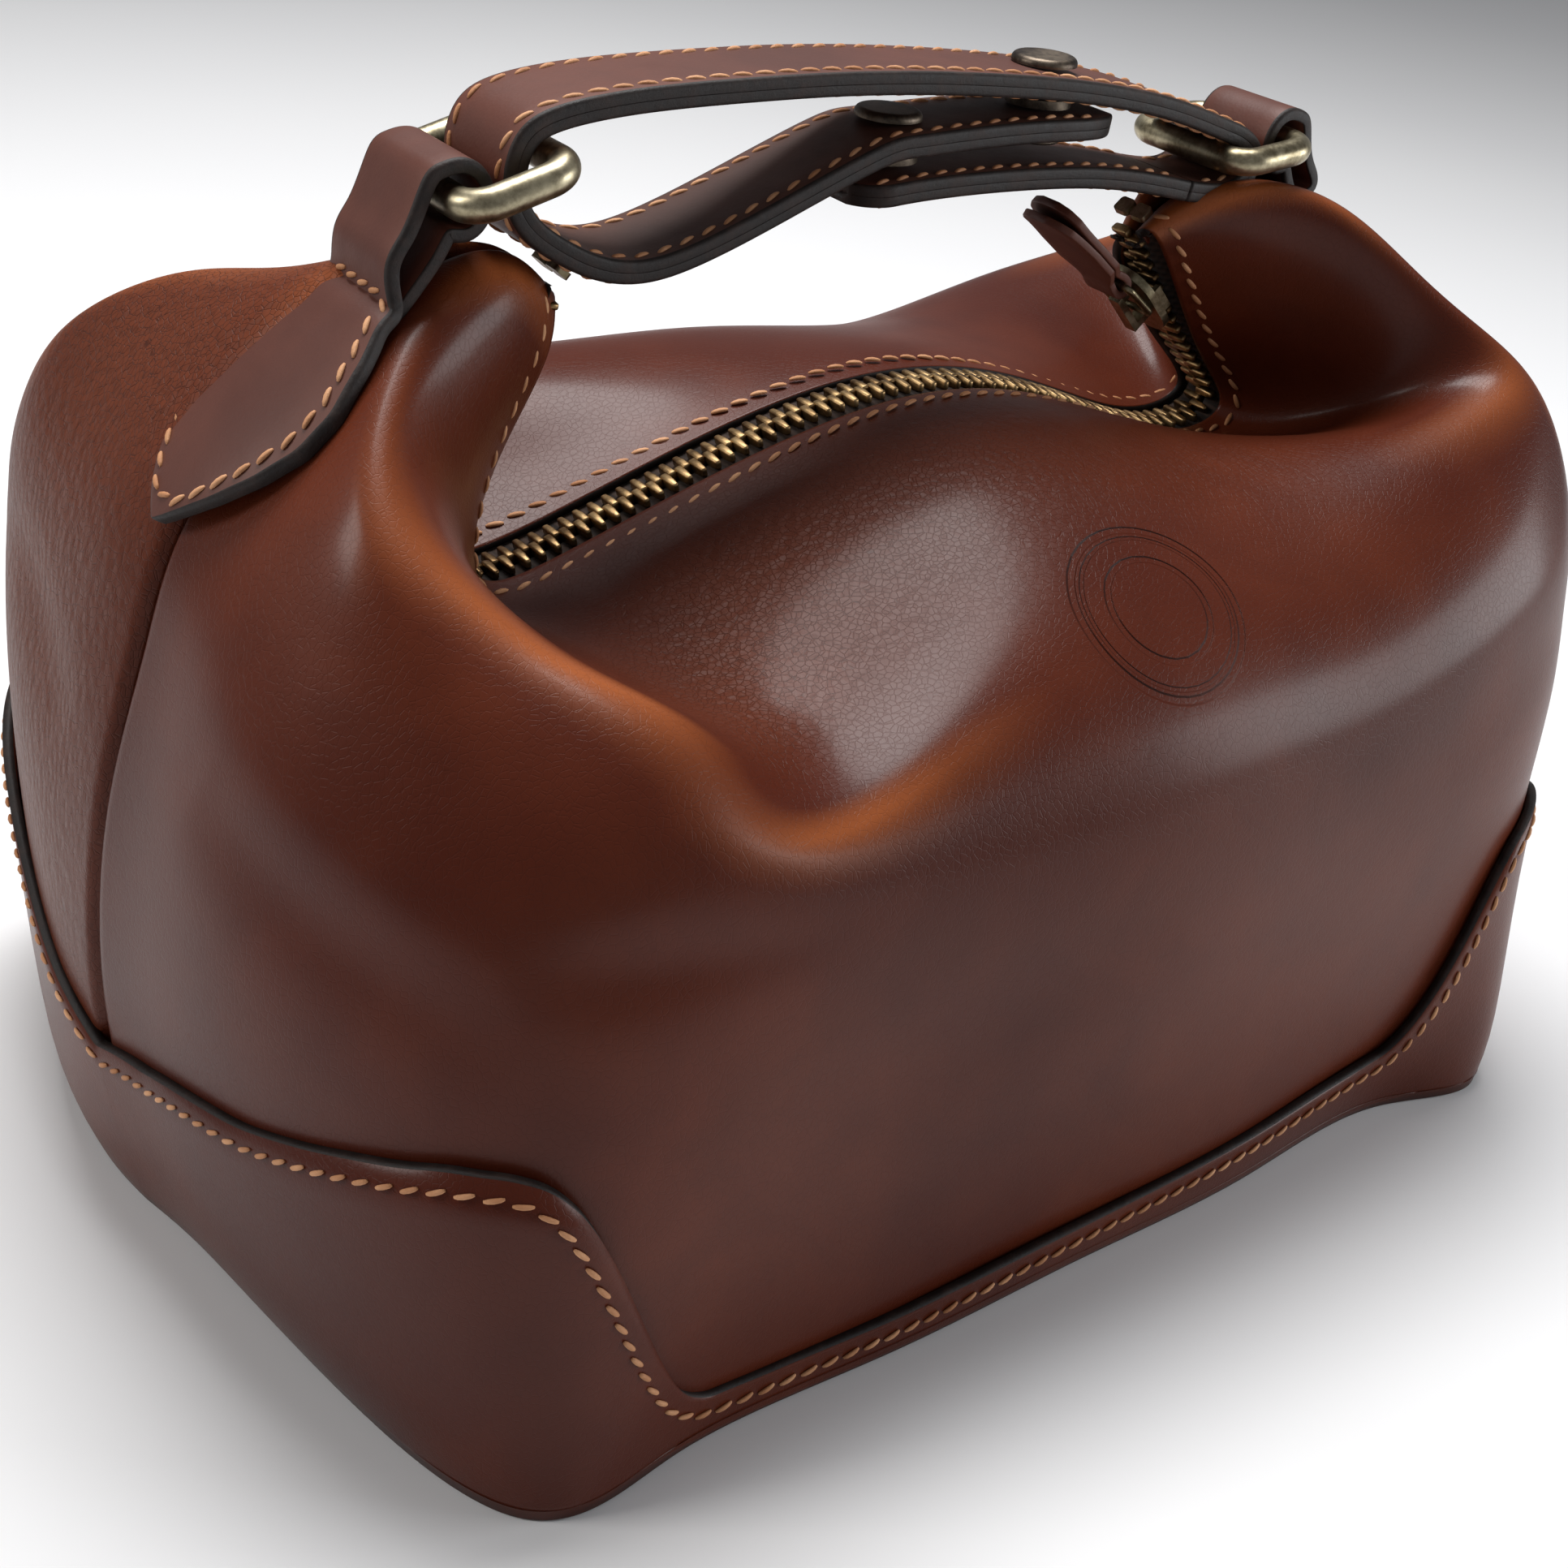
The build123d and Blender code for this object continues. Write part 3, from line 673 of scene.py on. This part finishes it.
def make_trim(hide, edge):
    columns = []
    for us, vs, panel in trim_border():
        for u, v in zip(us, vs):
            at_u, levels = np.full(TRIM_UP, u), np.linspace(v, TRIM_FOOT, TRIM_UP)
            out = panel.normals(at_u, np.maximum(levels, 0.4))
            columns.append(panel.at(at_u, levels) + out * TRIM_PROUD)
    points = np.array(columns)
    under = []
    for shrink, height in TRIM_UNDER:
        ring = points[:, -1:].copy()
        ring[..., :2] *= shrink
        ring[..., 2] = height
        under.append(ring)
    points = np.concatenate([points] + under, axis=1)
    count, rows = points.shape[:2]
    faces = grid_faces(count, rows, loop=True)[:, ::-1].tolist()
    faces.append([i * rows + rows - 1 for i in reversed(range(count))])
    piece = mesh_piece("base_trim_leather", points.reshape(-1, 3), faces, [hide, edge])
    for name, value in (("wear_and_highlight", 0), ("crumple", 0), ("from_stamp", NO_STAMP)):
        set_attribute(piece, name, np.full(count * rows, value))
    solidify(piece, TRIM_THICK, -1, use_rim=True, material_offset_rim=1)
    finish_piece(piece, "bag", "panel_leather", "base_trim")


LINING_ACROSS, LINING_UP = 90, 60
LINING_INSET = 0.12          # in u, from the end seams
LINING_FOOT, LINING_TOP = 0.3, 8.75    # in v
LINING_DEPTH = 3.1 * MM
LINING_THICK = 0.6 * MM
BOARD_POINTS = 60            # along each long side
BOARD_V = 0.25               # v of the outline that it follows
BOARD_SHRINK = 0.955
BOARD_BOTTOM = 2.2 * MM
BOARD_THICK = 2.4 * MM


def make_inside(cloth, board):
    us = np.linspace(LINING_INSET, LAST_U - LINING_INSET, LINING_ACROSS)
    vs = np.linspace(LINING_FOOT, LINING_TOP, LINING_UP)
    flat_u, flat_v = pairs(us, vs)
    for name, panel in PANELS.items():
        points = panel.at(flat_u, flat_v) - panel.normals(flat_u, flat_v) * LINING_DEPTH
        faces = side_faces(panel, LINING_ACROSS, LINING_UP)
        piece = mesh_piece(f"{name}_lining_cloth", points, faces, [cloth])
        solidify(piece, LINING_THICK, -1)
        finish_piece(piece, "bag", "lining_cloth", f"lining_{name}")
    us = np.linspace(0, LAST_U, BOARD_POINTS)
    outline = np.concatenate([
        PANELS["front"].at(us, np.full(len(us), BOARD_V)),
        PANELS["back"].at(us[::-1][1:-1], np.full(len(us) - 2, BOARD_V))])
    outline[:, :2] *= BOARD_SHRINK
    outline[:, 2] = BOARD_BOTTOM
    piece = mesh_piece("base_stiffener", outline, [range(len(outline))], [board], smooth=False)
    solidify(piece, BOARD_THICK, 1)
    finish_piece(piece, "bag", "board", "base_board")


# Rows of small copies: stitches and zip teeth.

STITCH = 4.2 * MM
SLANT = 0.3                  # radians by which a stitch turns out of its row
TOOTH_PITCH = 2.95 * MM
TOOTH_SIZE = (1.5, 4.4, 2.0)


def stitch_model():
    """One stitch: a short capsule of thread along X, a little arched, modelled in millimetres."""
    bpy.ops.object.select_all(action="DESELECT")
    bpy.ops.mesh.primitive_uv_sphere_add(segments=8, ring_count=6, radius=0.5)
    ball = bpy.context.object
    points = np.array([v.co for v in ball.data.vertices])[:, [2, 0, 1]]
    faces = [tuple(f.vertices) for f in ball.data.polygons]
    bpy.data.objects.remove(ball)
    stretch = np.sign(points[:, 0]) * np.minimum(abs(points[:, 0]) * 2.6, 1)
    points = np.stack([points[:, 0] * 0.9 + stretch * 1.15, points[:, 1] * 0.95, points[:, 2] * 0.75], 1)
    points[:, 2] -= 0.16 * (points[:, 0] / 1.5) ** 2
    return points * MM, faces


def tooth_model():
    """One zip tooth along Y: a flat brass body with a rounded head, modelled in millimetres."""
    bpy.ops.object.select_all(action="DESELECT")
    bpy.ops.mesh.primitive_cube_add(size=1)
    block = bpy.context.object
    block.scale = TOOTH_SIZE
    bpy.ops.object.transform_apply(location=False, rotation=False, scale=True)
    bpy.ops.object.mode_set(mode="EDIT")
    bpy.ops.mesh.subdivide(number_cuts=1)
    bpy.ops.object.mode_set(mode="OBJECT")
    for vertex in block.data.vertices:
        if vertex.co.y < -1:
            vertex.co.x *= 0.72
            vertex.co.z *= 0.8
    bpy.ops.object.modifier_add(type="BEVEL")
    bevel = block.modifiers[-1]
    bevel.width = 0.35
    bevel.segments = 2
    bevel.limit_method = "ANGLE"
    bpy.ops.object.modifier_apply(modifier=bevel.name)
    points = np.array([v.co for v in block.data.vertices])
    faces = [tuple(f.vertices) for f in block.data.polygons]
    bpy.data.objects.remove(block)
    return points * MM, faces


STITCH_MODEL = stitch_model()
TOOTH_MODEL = tooth_model()


def place_copies(name, model, origins, along, normals, material, turn=0.0):
    """Copies of a model, its X along the row turned by turn radians about the normal, its Z outwards."""
    shape, faces = model
    x_axis = unit(along)
    z_axis = unit(normals - x_axis * (normals * x_axis).sum(1, keepdims=True))
    y_axis = np.cross(z_axis, x_axis)
    x_turned = x_axis * math.cos(turn) + y_axis * math.sin(turn)
    y_turned = y_axis * math.cos(turn) - x_axis * math.sin(turn)
    points = (origins[:, None] + shape[None, :, :1] * x_turned[:, None]
              + shape[None, :, 1:2] * y_turned[:, None] + shape[None, :, 2:] * z_axis[:, None])
    all_faces = [[i + n * len(shape) for i in face] for n in range(len(origins)) for face in faces]
    return mesh_piece(name, points.reshape(-1, 3), all_faces, [material])


def evenly(points, extra, pitch, loop=False):
    """Points, directions and the carried values at even steps of about pitch along a fine line."""
    if loop:
        points, extra = np.vstack([points, points[:1]]), np.vstack([extra, extra[:1]])
    steps = np.r_[0, np.cumsum(np.linalg.norm(np.diff(points, axis=0), axis=1))]
    count = max(int(round(steps[-1] / pitch)), 2)
    places = (np.arange(count) + 0.5) * steps[-1] / count

    reach = pitch * 0.3

    def sample(values, at):
        return np.stack([np.interp(at, steps, values[:, k]) for k in range(values.shape[1])], 1)

    return (sample(points, places), sample(points, places + reach) - sample(points, places - reach),
            sample(extra, places))


def stitch_row(name, points, normals, thread, body, slot, loop=False, lift=0.22 * MM, turn=SLANT):
    """Stitches along a line. A row with no body is left unattached and returned to its caller."""
    origins, along, out = evenly(points, normals, STITCH, loop)
    row = place_copies(name, STITCH_MODEL, origins + unit(out) * lift, along, out, thread, turn)
    if body:
        finish_piece(row, body, slot)
    return row


def beside_line(points, normals, distance, loop=False):
    """The line moved sideways over its surface, to its right as seen from outside."""
    ahead = np.roll(points, -1, 0) - np.roll(points, 1, 0)
    if not loop:
        ahead[0], ahead[-1] = points[1] - points[0], points[-1] - points[-2]
    return points + np.cross(unit(ahead), normals) * distance


TRIM_STITCH_INSET = 3.4 * MM
TRIM_STITCH_HEIGHT = 2.1 * MM


def make_trim_stitches(thread):
    lines, outs = [], []
    for us, vs, panel in trim_border():
        lines.append(panel.at(us, vs))
        outs.append(panel.normals(us, vs))
    line, out = np.vstack(lines), np.vstack(outs)
    row = beside_line(line, out, TRIM_STITCH_INSET, loop=True) + out * TRIM_STITCH_HEIGHT
    stitch_row("trim_stitches", row, out, thread, "bag", "panel_leather", loop=True)


ZIP_POINTS = 400
TAPE_THICK = 0.6 * MM
TAPE_SINK = 1.6 * MM         # how far the tape lies under the teeth
TAPE_BELOW = 2.2 * MM        # how far it lies under the leather
ZIP_STITCH_INSET = 3.4 * MM


def down_from_edge(panel, us, distance):
    """The v that lies distance below the zip edge, for each u."""
    steps = np.linspace(LAST_V, 7.5, 60)
    points = panel.grid(us, steps)
    gone = np.cumsum(np.linalg.norm(np.diff(points, axis=1), axis=2), axis=1)
    return np.array([np.interp(distance, np.r_[0, row], steps) for row in gone])


def make_zip(tape, brass, thread):
    us = np.linspace(0, LAST_U, ZIP_POINTS)
    top = np.full(ZIP_POINTS, LAST_V)
    middle = (PANELS["front"].at(us, top) + PANELS["back"].at(us, top)) / 2
    middle[:, 1] = 0
    ahead = np.gradient(middle, axis=0)
    out = unit(np.stack([-ahead[:, 2], ahead[:, 1] * 0, ahead[:, 0]], 1))
    for name, panel in PANELS.items():
        facing = panel.facing
        tilt = np.array([0, facing, 0])
        low = [down_from_edge(panel, us, d) for d in (0.001, 0.0045, 0.008)]
        below = [panel.at(us, v) - panel.normals(us, v) * TAPE_BELOW for v in low]
        inner = [middle + tilt * side - out * TAPE_SINK for side in (0.0009, 0.0034)]
        rows = np.stack(inner + below, axis=1)
        faces = side_faces(panel, ZIP_POINTS, rows.shape[1])[:, ::-1]
        piece = mesh_piece(f"zip_{name}_tape", rows.reshape(-1, 3), faces, [tape])
        solidify(piece, TAPE_THICK, 0)
        finish_piece(piece, "bag", "zip_tape", f"zip_tape_{name}")

        inside = slice(6, -6)
        origins, along, outs = evenly(middle[inside], out[inside], TOOTH_PITCH)
        if facing > 0:
            origins = origins + along / np.linalg.norm(along, axis=1, keepdims=True) * TOOTH_PITCH / 2
        origins = origins + tilt * 0.0016 - outs * 0.0004
        piece = place_copies(f"zip_{name}_teeth", TOOTH_MODEL, origins, along * -facing, outs, brass)
        finish_piece(piece, "bag", "antique_brass", f"zip_teeth_{name}")

        span = us[12:-12]
        v = down_from_edge(panel, span, ZIP_STITCH_INSET)
        stitch_row(f"zip_{name}_stitches", panel.at(span, v), panel.normals(span, v), thread, "bag",
                   "panel_leather", turn=SLANT * -facing)


# Straps: a section carried along a line in the XZ plane.

def curve_through(points, count):
    """A smooth fine line through points of X and Z, in metres."""
    net = through(np.array(points, float) * MM)
    return weights(np.linspace(0, len(points) - 1, count), len(points)) @ net


def strip_section(half_width, low, high, rounding):
    """Section points (side, height) of a strip with rounded long edges, counter-clockwise."""
    corners = []
    for sign_x, sign_z, start in ((1, 1, 0), (-1, 1, 90), (-1, -1, 180), (1, -1, 270)):
        radius = rounding[0] if sign_z > 0 else rounding[1]
        level = high if sign_z > 0 else low
        for step in range(4):
            angle = math.radians(start + 30 * step)
            corners.append((sign_x * (half_width - radius) + radius * math.cos(angle),
                            level - sign_z * radius + radius * math.sin(angle)))
    return np.array(corners)


EDGE_BAND = 1.1 * MM         # width of the painted edge


def make_strip(name, line, half_widths, low, high, rounding, materials, droop=None):
    """A strip of leather along a line of (x, z): half_widths gives its half width at each point.

    Its faces lie low and high beside the line. droop bends its long edges down across it.
    """
    ahead = unit(np.gradient(line, axis=0))
    left = np.stack([-ahead[:, 1], ahead[:, 0]], 1)
    rings = []
    for number, half in enumerate(half_widths):
        section = strip_section(max(half, 0.8 * MM), low, high, rounding)
        top = np.linspace(section[3], section[4], 6)[1:-1]
        bottom = np.linspace(section[11], section[12], 6)[1:-1]
        section = np.vstack([section[:4], top, section[4:12], bottom, section[12:]])
        height = section[:, 1]
        if droop is not None:
            height = height - droop[number] * section[:, 0] ** 2
        place = line[number] + left[number] * height[:, None]
        rings.append(np.stack([place[:, 0], section[:, 0], place[:, 1]], 1))
    around = len(rings[0])
    points = np.array(rings)
    start = (np.arange(len(rings) - 1)[:, None] * around + np.arange(around)[None, :]).ravel()
    step = np.tile(np.roll(np.arange(around), -1) - np.arange(around), len(rings) - 1)
    faces = np.stack([start, start + step, start + step + around, start + around], 1).tolist()
    faces.append(list(range(around))[::-1])
    faces.append([(len(rings) - 1) * around + n for n in range(around)])
    piece = mesh_piece(name, points.reshape(-1, 3), faces, materials)
    for polygon in piece.data.polygons:
        edge = all(abs(piece.data.vertices[i].co.y) > half_widths[i // around] - EDGE_BAND
                   for i in polygon.vertices)
        polygon.material_index = 1 if edge or len(polygon.vertices) > 4 else 0
    across = np.tile(np.abs(points[:, :, 1]) / np.maximum(half_widths[:, None], 1e-4), 1).ravel()
    set_attribute(piece, "wear_and_highlight", np.clip((across - 0.8) * 3, 0, 1) * 0.35)
    mesh = bmesh.new()
    mesh.from_mesh(piece.data)
    bmesh.ops.recalc_face_normals(mesh, faces=mesh.faces)
    mesh.to_mesh(piece.data)
    mesh.free()
    return piece


# The strap's line, in millimetres of X and Z: the second layer from beyond snap 1 to the left ring,
# the top layer from there round the right ring, and the free end that runs back under them.
STRAP_LOWER = [
    (44, 178.4), (28, 179.3), (10, 179), (-3, 178.3), (-11, 176.9), (-26, 171), (-38, 166.2),
    (-48, 162.9), (-56, 161.8), (-63, 163), (-69.5, 166), (-75.6, 170.6), (-77.9, 176.5),
]
STRAP_TOP = [
    (-77, 181.6), (-73, 185), (-63, 187), (-50, 188), (-35, 188.5), (-20, 188.7), (-3, 188.3),
    (14, 187.3), (33, 185.5), (53, 182.1), (67, 178.2), (74.5, 175.6), (78.3, 171.6), (75.8, 167.4),
    (70, 166), (62.2, 166.9),
]
STRAP_TAIL = [(61.8, 166.95), (50, 169.2), (35, 170.9), (15, 171.4), (-2, 170.9), (-13, 169.8)]
STRAP_HALF = 10 * MM
LAYER = 1.9 * MM
STRAP_STITCH_SIDE = 7.6 * MM
TIP_STEPS = 14               # points over which an end is rounded
TIP_START = 0.12


def line_stitches(name, line, side, height, facing, thread, body, slot, skip=6):
    """A row of stitches along a strap line, side metres from its middle, on its left or right face."""
    ahead = unit(np.gradient(line, axis=0))
    left = np.stack([-ahead[:, 1], ahead[:, 0]], 1) * facing
    place = line + left * height
    points = np.stack([place[:, 0], np.full(len(line), side), place[:, 1]], 1)[skip:-skip]
    out = np.stack([left[:, 0], left[:, 0] * 0, left[:, 1]], 1)[skip:-skip]
    return stitch_row(name, points, out, thread, body, slot, lift=0.00012,
                      turn=SLANT * (1 if side * facing > 0 else -1))


def make_strap(leather, lining, edge, thread):
    run = curve_through(STRAP_LOWER + STRAP_TOP, 360)
    tail = curve_through(STRAP_TAIL, 110)
    widths = {"run": np.full(len(run), STRAP_HALF), "tail": np.full(len(tail), STRAP_HALF)}
    tip = STRAP_HALF * np.sqrt(1 - (1 - np.linspace(TIP_START, 1, TIP_STEPS)) ** 2)
    widths["run"][:TIP_STEPS] = tip
    widths["tail"][-TIP_STEPS:] = tip[::-1]
    kinds = {
        "leather": (0, LAYER, (0.0007, 0.0001), leather, "strap_leather"),
        "lining": (-LAYER, 0, (0.0001, 0.0007), lining, "strap_lining"),
    }
    for kind, (low, high, rounding, material, slot) in kinds.items():
        piece = make_strip(f"strap_{kind}_skin", run, widths["run"], low, high, rounding, [material, edge])
        finish_piece(piece, "handle", slot, f"strap_{kind}")
        piece = make_strip(f"tail_{kind}_skin", tail, widths["tail"], low, high, rounding, [material, edge])
        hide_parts(f"strap_tail_{kind}")
        blend_tail(piece)
    for side_name, side in (("near", -STRAP_STITCH_SIDE), ("far", STRAP_STITCH_SIDE)):
        for face_name, facing in (("top", 1), ("under", -1)):
            line_stitches(f"strap_stitches_{face_name}_{side_name}", run, side, LAYER, facing, thread,
                          "handle", "strap_leather")
            row = line_stitches(f"tail_stitches_{face_name}_{side_name}", tail, side, LAYER, facing, thread,
                                None, "strap_leather")
            blend_tail(row)


def blend_tail(piece):
    """Bakes the transform of the free end, which leaves the strap at the right ring, into its mesh."""
    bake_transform(piece)


RING_WIRE = (87, 174.5)      # X and Z of the wire that a tab folds over, in millimetres
LOOP_RADIUS = 4.1
LOOP_ANGLES = (25, 60, 100, 140, 180, 215, 250, 290)
TAB_THICK = 2.2 * MM
TAB_LIFT = 1.6 * MM          # height of the tab's line over the seam
TAB_NECK = [(95.8, 165.5), (93.4, 170)]
TAB_UNDER = [(90.5, 167.5), (95.5, 161), (101, 154.5)]
TAB_STITCH_INSET = 2.7 * MM


def make_tabs(leather, edge, thread):
    panel = PANELS["front"]
    for name, mirror, u in (("left", -1, 0.0), ("right", 1, LAST_U)):
        vs = np.linspace(4.9, 6.75, 12)
        out = panel.normals(np.full(12, u), vs)
        spear = [(abs(x), z) for x, _, z in (panel.at(np.full(12, u), vs) + out * TAB_LIFT) / MM]
        turns = [math.radians(angle) for angle in LOOP_ANGLES]
        loop = [(RING_WIRE[0] + LOOP_RADIUS * math.cos(turn), RING_WIRE[1] + LOOP_RADIUS * math.sin(turn))
                for turn in turns]
        knots = spear + TAB_NECK + loop + TAB_UNDER
        line = curve_through([(x * mirror, z) for x, z in knots], 300)
        gone = np.r_[0, np.cumsum(np.linalg.norm(np.diff(line, axis=0), axis=1))]
        widths = np.interp(gone, np.array((0, 1.5, 4, 8, 14, 21, 28, 36, 44, 50, 90)) * MM,
                           np.array((0.8, 3.0, 6.2, 10.4, 14.8, 17.8, 18.2, 15.6, 11.6, 9.4, 9.4)) * MM)
        kernel = np.ones(9) / 9
        widths[6:200] = np.convolve(widths, kernel, "same")[6:200]
        droop = np.interp(gone, np.array((0, 20, 40, 50)) * MM, (9, 9, 6, 0))
        low, high = (0, TAB_THICK) if mirror < 0 else (-TAB_THICK, 0)
        rounding = (0.0008, 0.0003) if mirror < 0 else (0.0003, 0.0008)
        piece = make_strip(f"end_tab_{name}_leather", line, widths, low, high, rounding, [leather, edge],
                           droop * -mirror)
        finish_piece(piece, "bag", "strap_leather", f"end_tab_{name}")
        tab_stitches(name, line, widths, droop, gone, mirror, thread)


def tab_stitches(name, line, widths, droop, gone, mirror, thread):
    """Stitches round the tab's spear, inside its edge, and across its neck."""
    ahead = unit(np.gradient(line, axis=0))
    outwards = np.stack([-ahead[:, 1], ahead[:, 0]], 1) * -mirror
    last = int(np.searchsorted(gone, 47.5 * MM))
    first = int(np.searchsorted(gone, 3.5 * MM))

    def on_face(index, side):
        place = line[index] + outwards[index] * (TAB_THICK - droop[index] * side ** 2)
        return (place[0], side, place[1])

    half = np.maximum(widths - TAB_STITCH_INSET, 0.3 * MM)
    half[:first + 4] = np.minimum(half[:first + 4], np.linspace(0.0002, half[first + 4], first + 4))
    outline = [on_face(i, -half[i]) for i in range(last, first, -1)]
    outline += [on_face(i, half[i]) for i in range(first, last)]
    cross = [on_face(last, s) for s in np.linspace(-half[last], half[last], 12)]
    normals = [(outwards[i][0], 0, outwards[i][1]) for i in (*range(last, first, -1), *range(first, last))]
    stitch_row(f"tab_{name}_stitches", np.array(outline), np.array(normals), thread, "bag", "strap_leather",
               turn=SLANT * -mirror)
    stitch_row(f"tab_{name}_cross_stitches", np.array(cross), np.array([normals[0]] * 12), thread, "bag",
               "strap_leather")


LINK_HINGE = (63.13, 142.16)    # X and Z, in millimetres
LINK_REACH = 9
LINK_TURN = math.radians(143)
# One layer of the puller and its fold, as distance past the link's bar and height over the middle.
PULLER_LAYER = [(25, 1.6), (20, 1.0), (14, 0.8), (8, 0.8), (4, 0.95), (1.6, 1.5)]
PULLER_FOLD = [(-0.6, 1.5), (-1.65, 0), (-0.6, -1.5)]
PULLER_HALF_THICK = 0.72 * MM


def make_puller(leather):
    """The zip's leather puller: one strip folded round the pull link."""
    along = np.array((math.cos(LINK_TURN), math.sin(LINK_TURN)))
    over = np.array((along[1], -along[0]))
    bar = np.array(LINK_HINGE) + LINK_REACH * along
    knots = PULLER_LAYER + PULLER_FOLD + [(past, -height) for past, height in reversed(PULLER_LAYER)]
    line = curve_through([bar + along * past + over * height for past, height in knots], 150)
    reach = (line - bar * MM) @ along / MM
    widths = np.interp(reach, (0, 3, 8, 14, 22, 24, 25), (4.0, 4.0, 7.4, 7.6, 6.6, 5.0, 2.5)) * MM
    piece = make_strip("zip_puller_leather", line, widths, -PULLER_HALF_THICK, PULLER_HALF_THICK,
                       (0.0003, 0.0003), [leather, leather])
    finish_piece(piece, "zip_puller", "strap_leather", "zip_puller")


def dress(material, *nodes):
    """Give CAD nodes a finish through their material slots."""
    for node in nodes:
        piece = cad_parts[node]
        if not piece.material_slots:
            piece.data.materials.append(material)
        for slot in piece.material_slots:
            slot.material = material


# The whole bag.

make_camera()
floor = make_studio()
floor.data.materials.append(pale_floor())
hide = panel_leather()
edge = painted_edge()
thread = waxed_thread()
strap_hide = smooth_leather("strap_leather", (0.075, 0.021, 0.013), (0.118, 0.035, 0.021),
                            (0.2, 0.065, 0.036))
lining_hide = smooth_leather("strap_lining_leather", (0.06, 0.022, 0.015), (0.105, 0.04, 0.026),
                             (0.14, 0.05, 0.03))
ring_brass = antique_brass("ring_brass", (0.16, 0.13, 0.075), (0.5, 0.44, 0.3), 0.24)
teeth_brass = antique_brass("teeth_brass", (0.14, 0.08, 0.035), (0.52, 0.35, 0.17), 0.3)
snap_brass = antique_brass("snap_brass", (0.04, 0.03, 0.025), (0.2, 0.16, 0.12), 0.34)
make_panels(hide, edge)
make_trim(hide, edge)
make_trim_stitches(thread)
make_inside(woven("lining_cloth", (0.16, 0.1, 0.055), (0.34, 0.24, 0.15), 0.0009), pressed_board())
make_zip(woven("zip_tape_weave", (0.012, 0.007, 0.005), (0.04, 0.022, 0.015), 0.0006), teeth_brass, thread)
make_strap(strap_hide, lining_hide, edge, thread)
make_tabs(strap_hide, edge, thread)
dress(ring_brass, "ring_left", "ring_right", "zip_pull_link", "zip_slider", "zip_end_stops")
make_puller(strap_hide)
dress(snap_brass, *[f"snap_{n}_{part}" for n in (1, 2) for part in ("cap", "socket", "stud", "stud_back")])
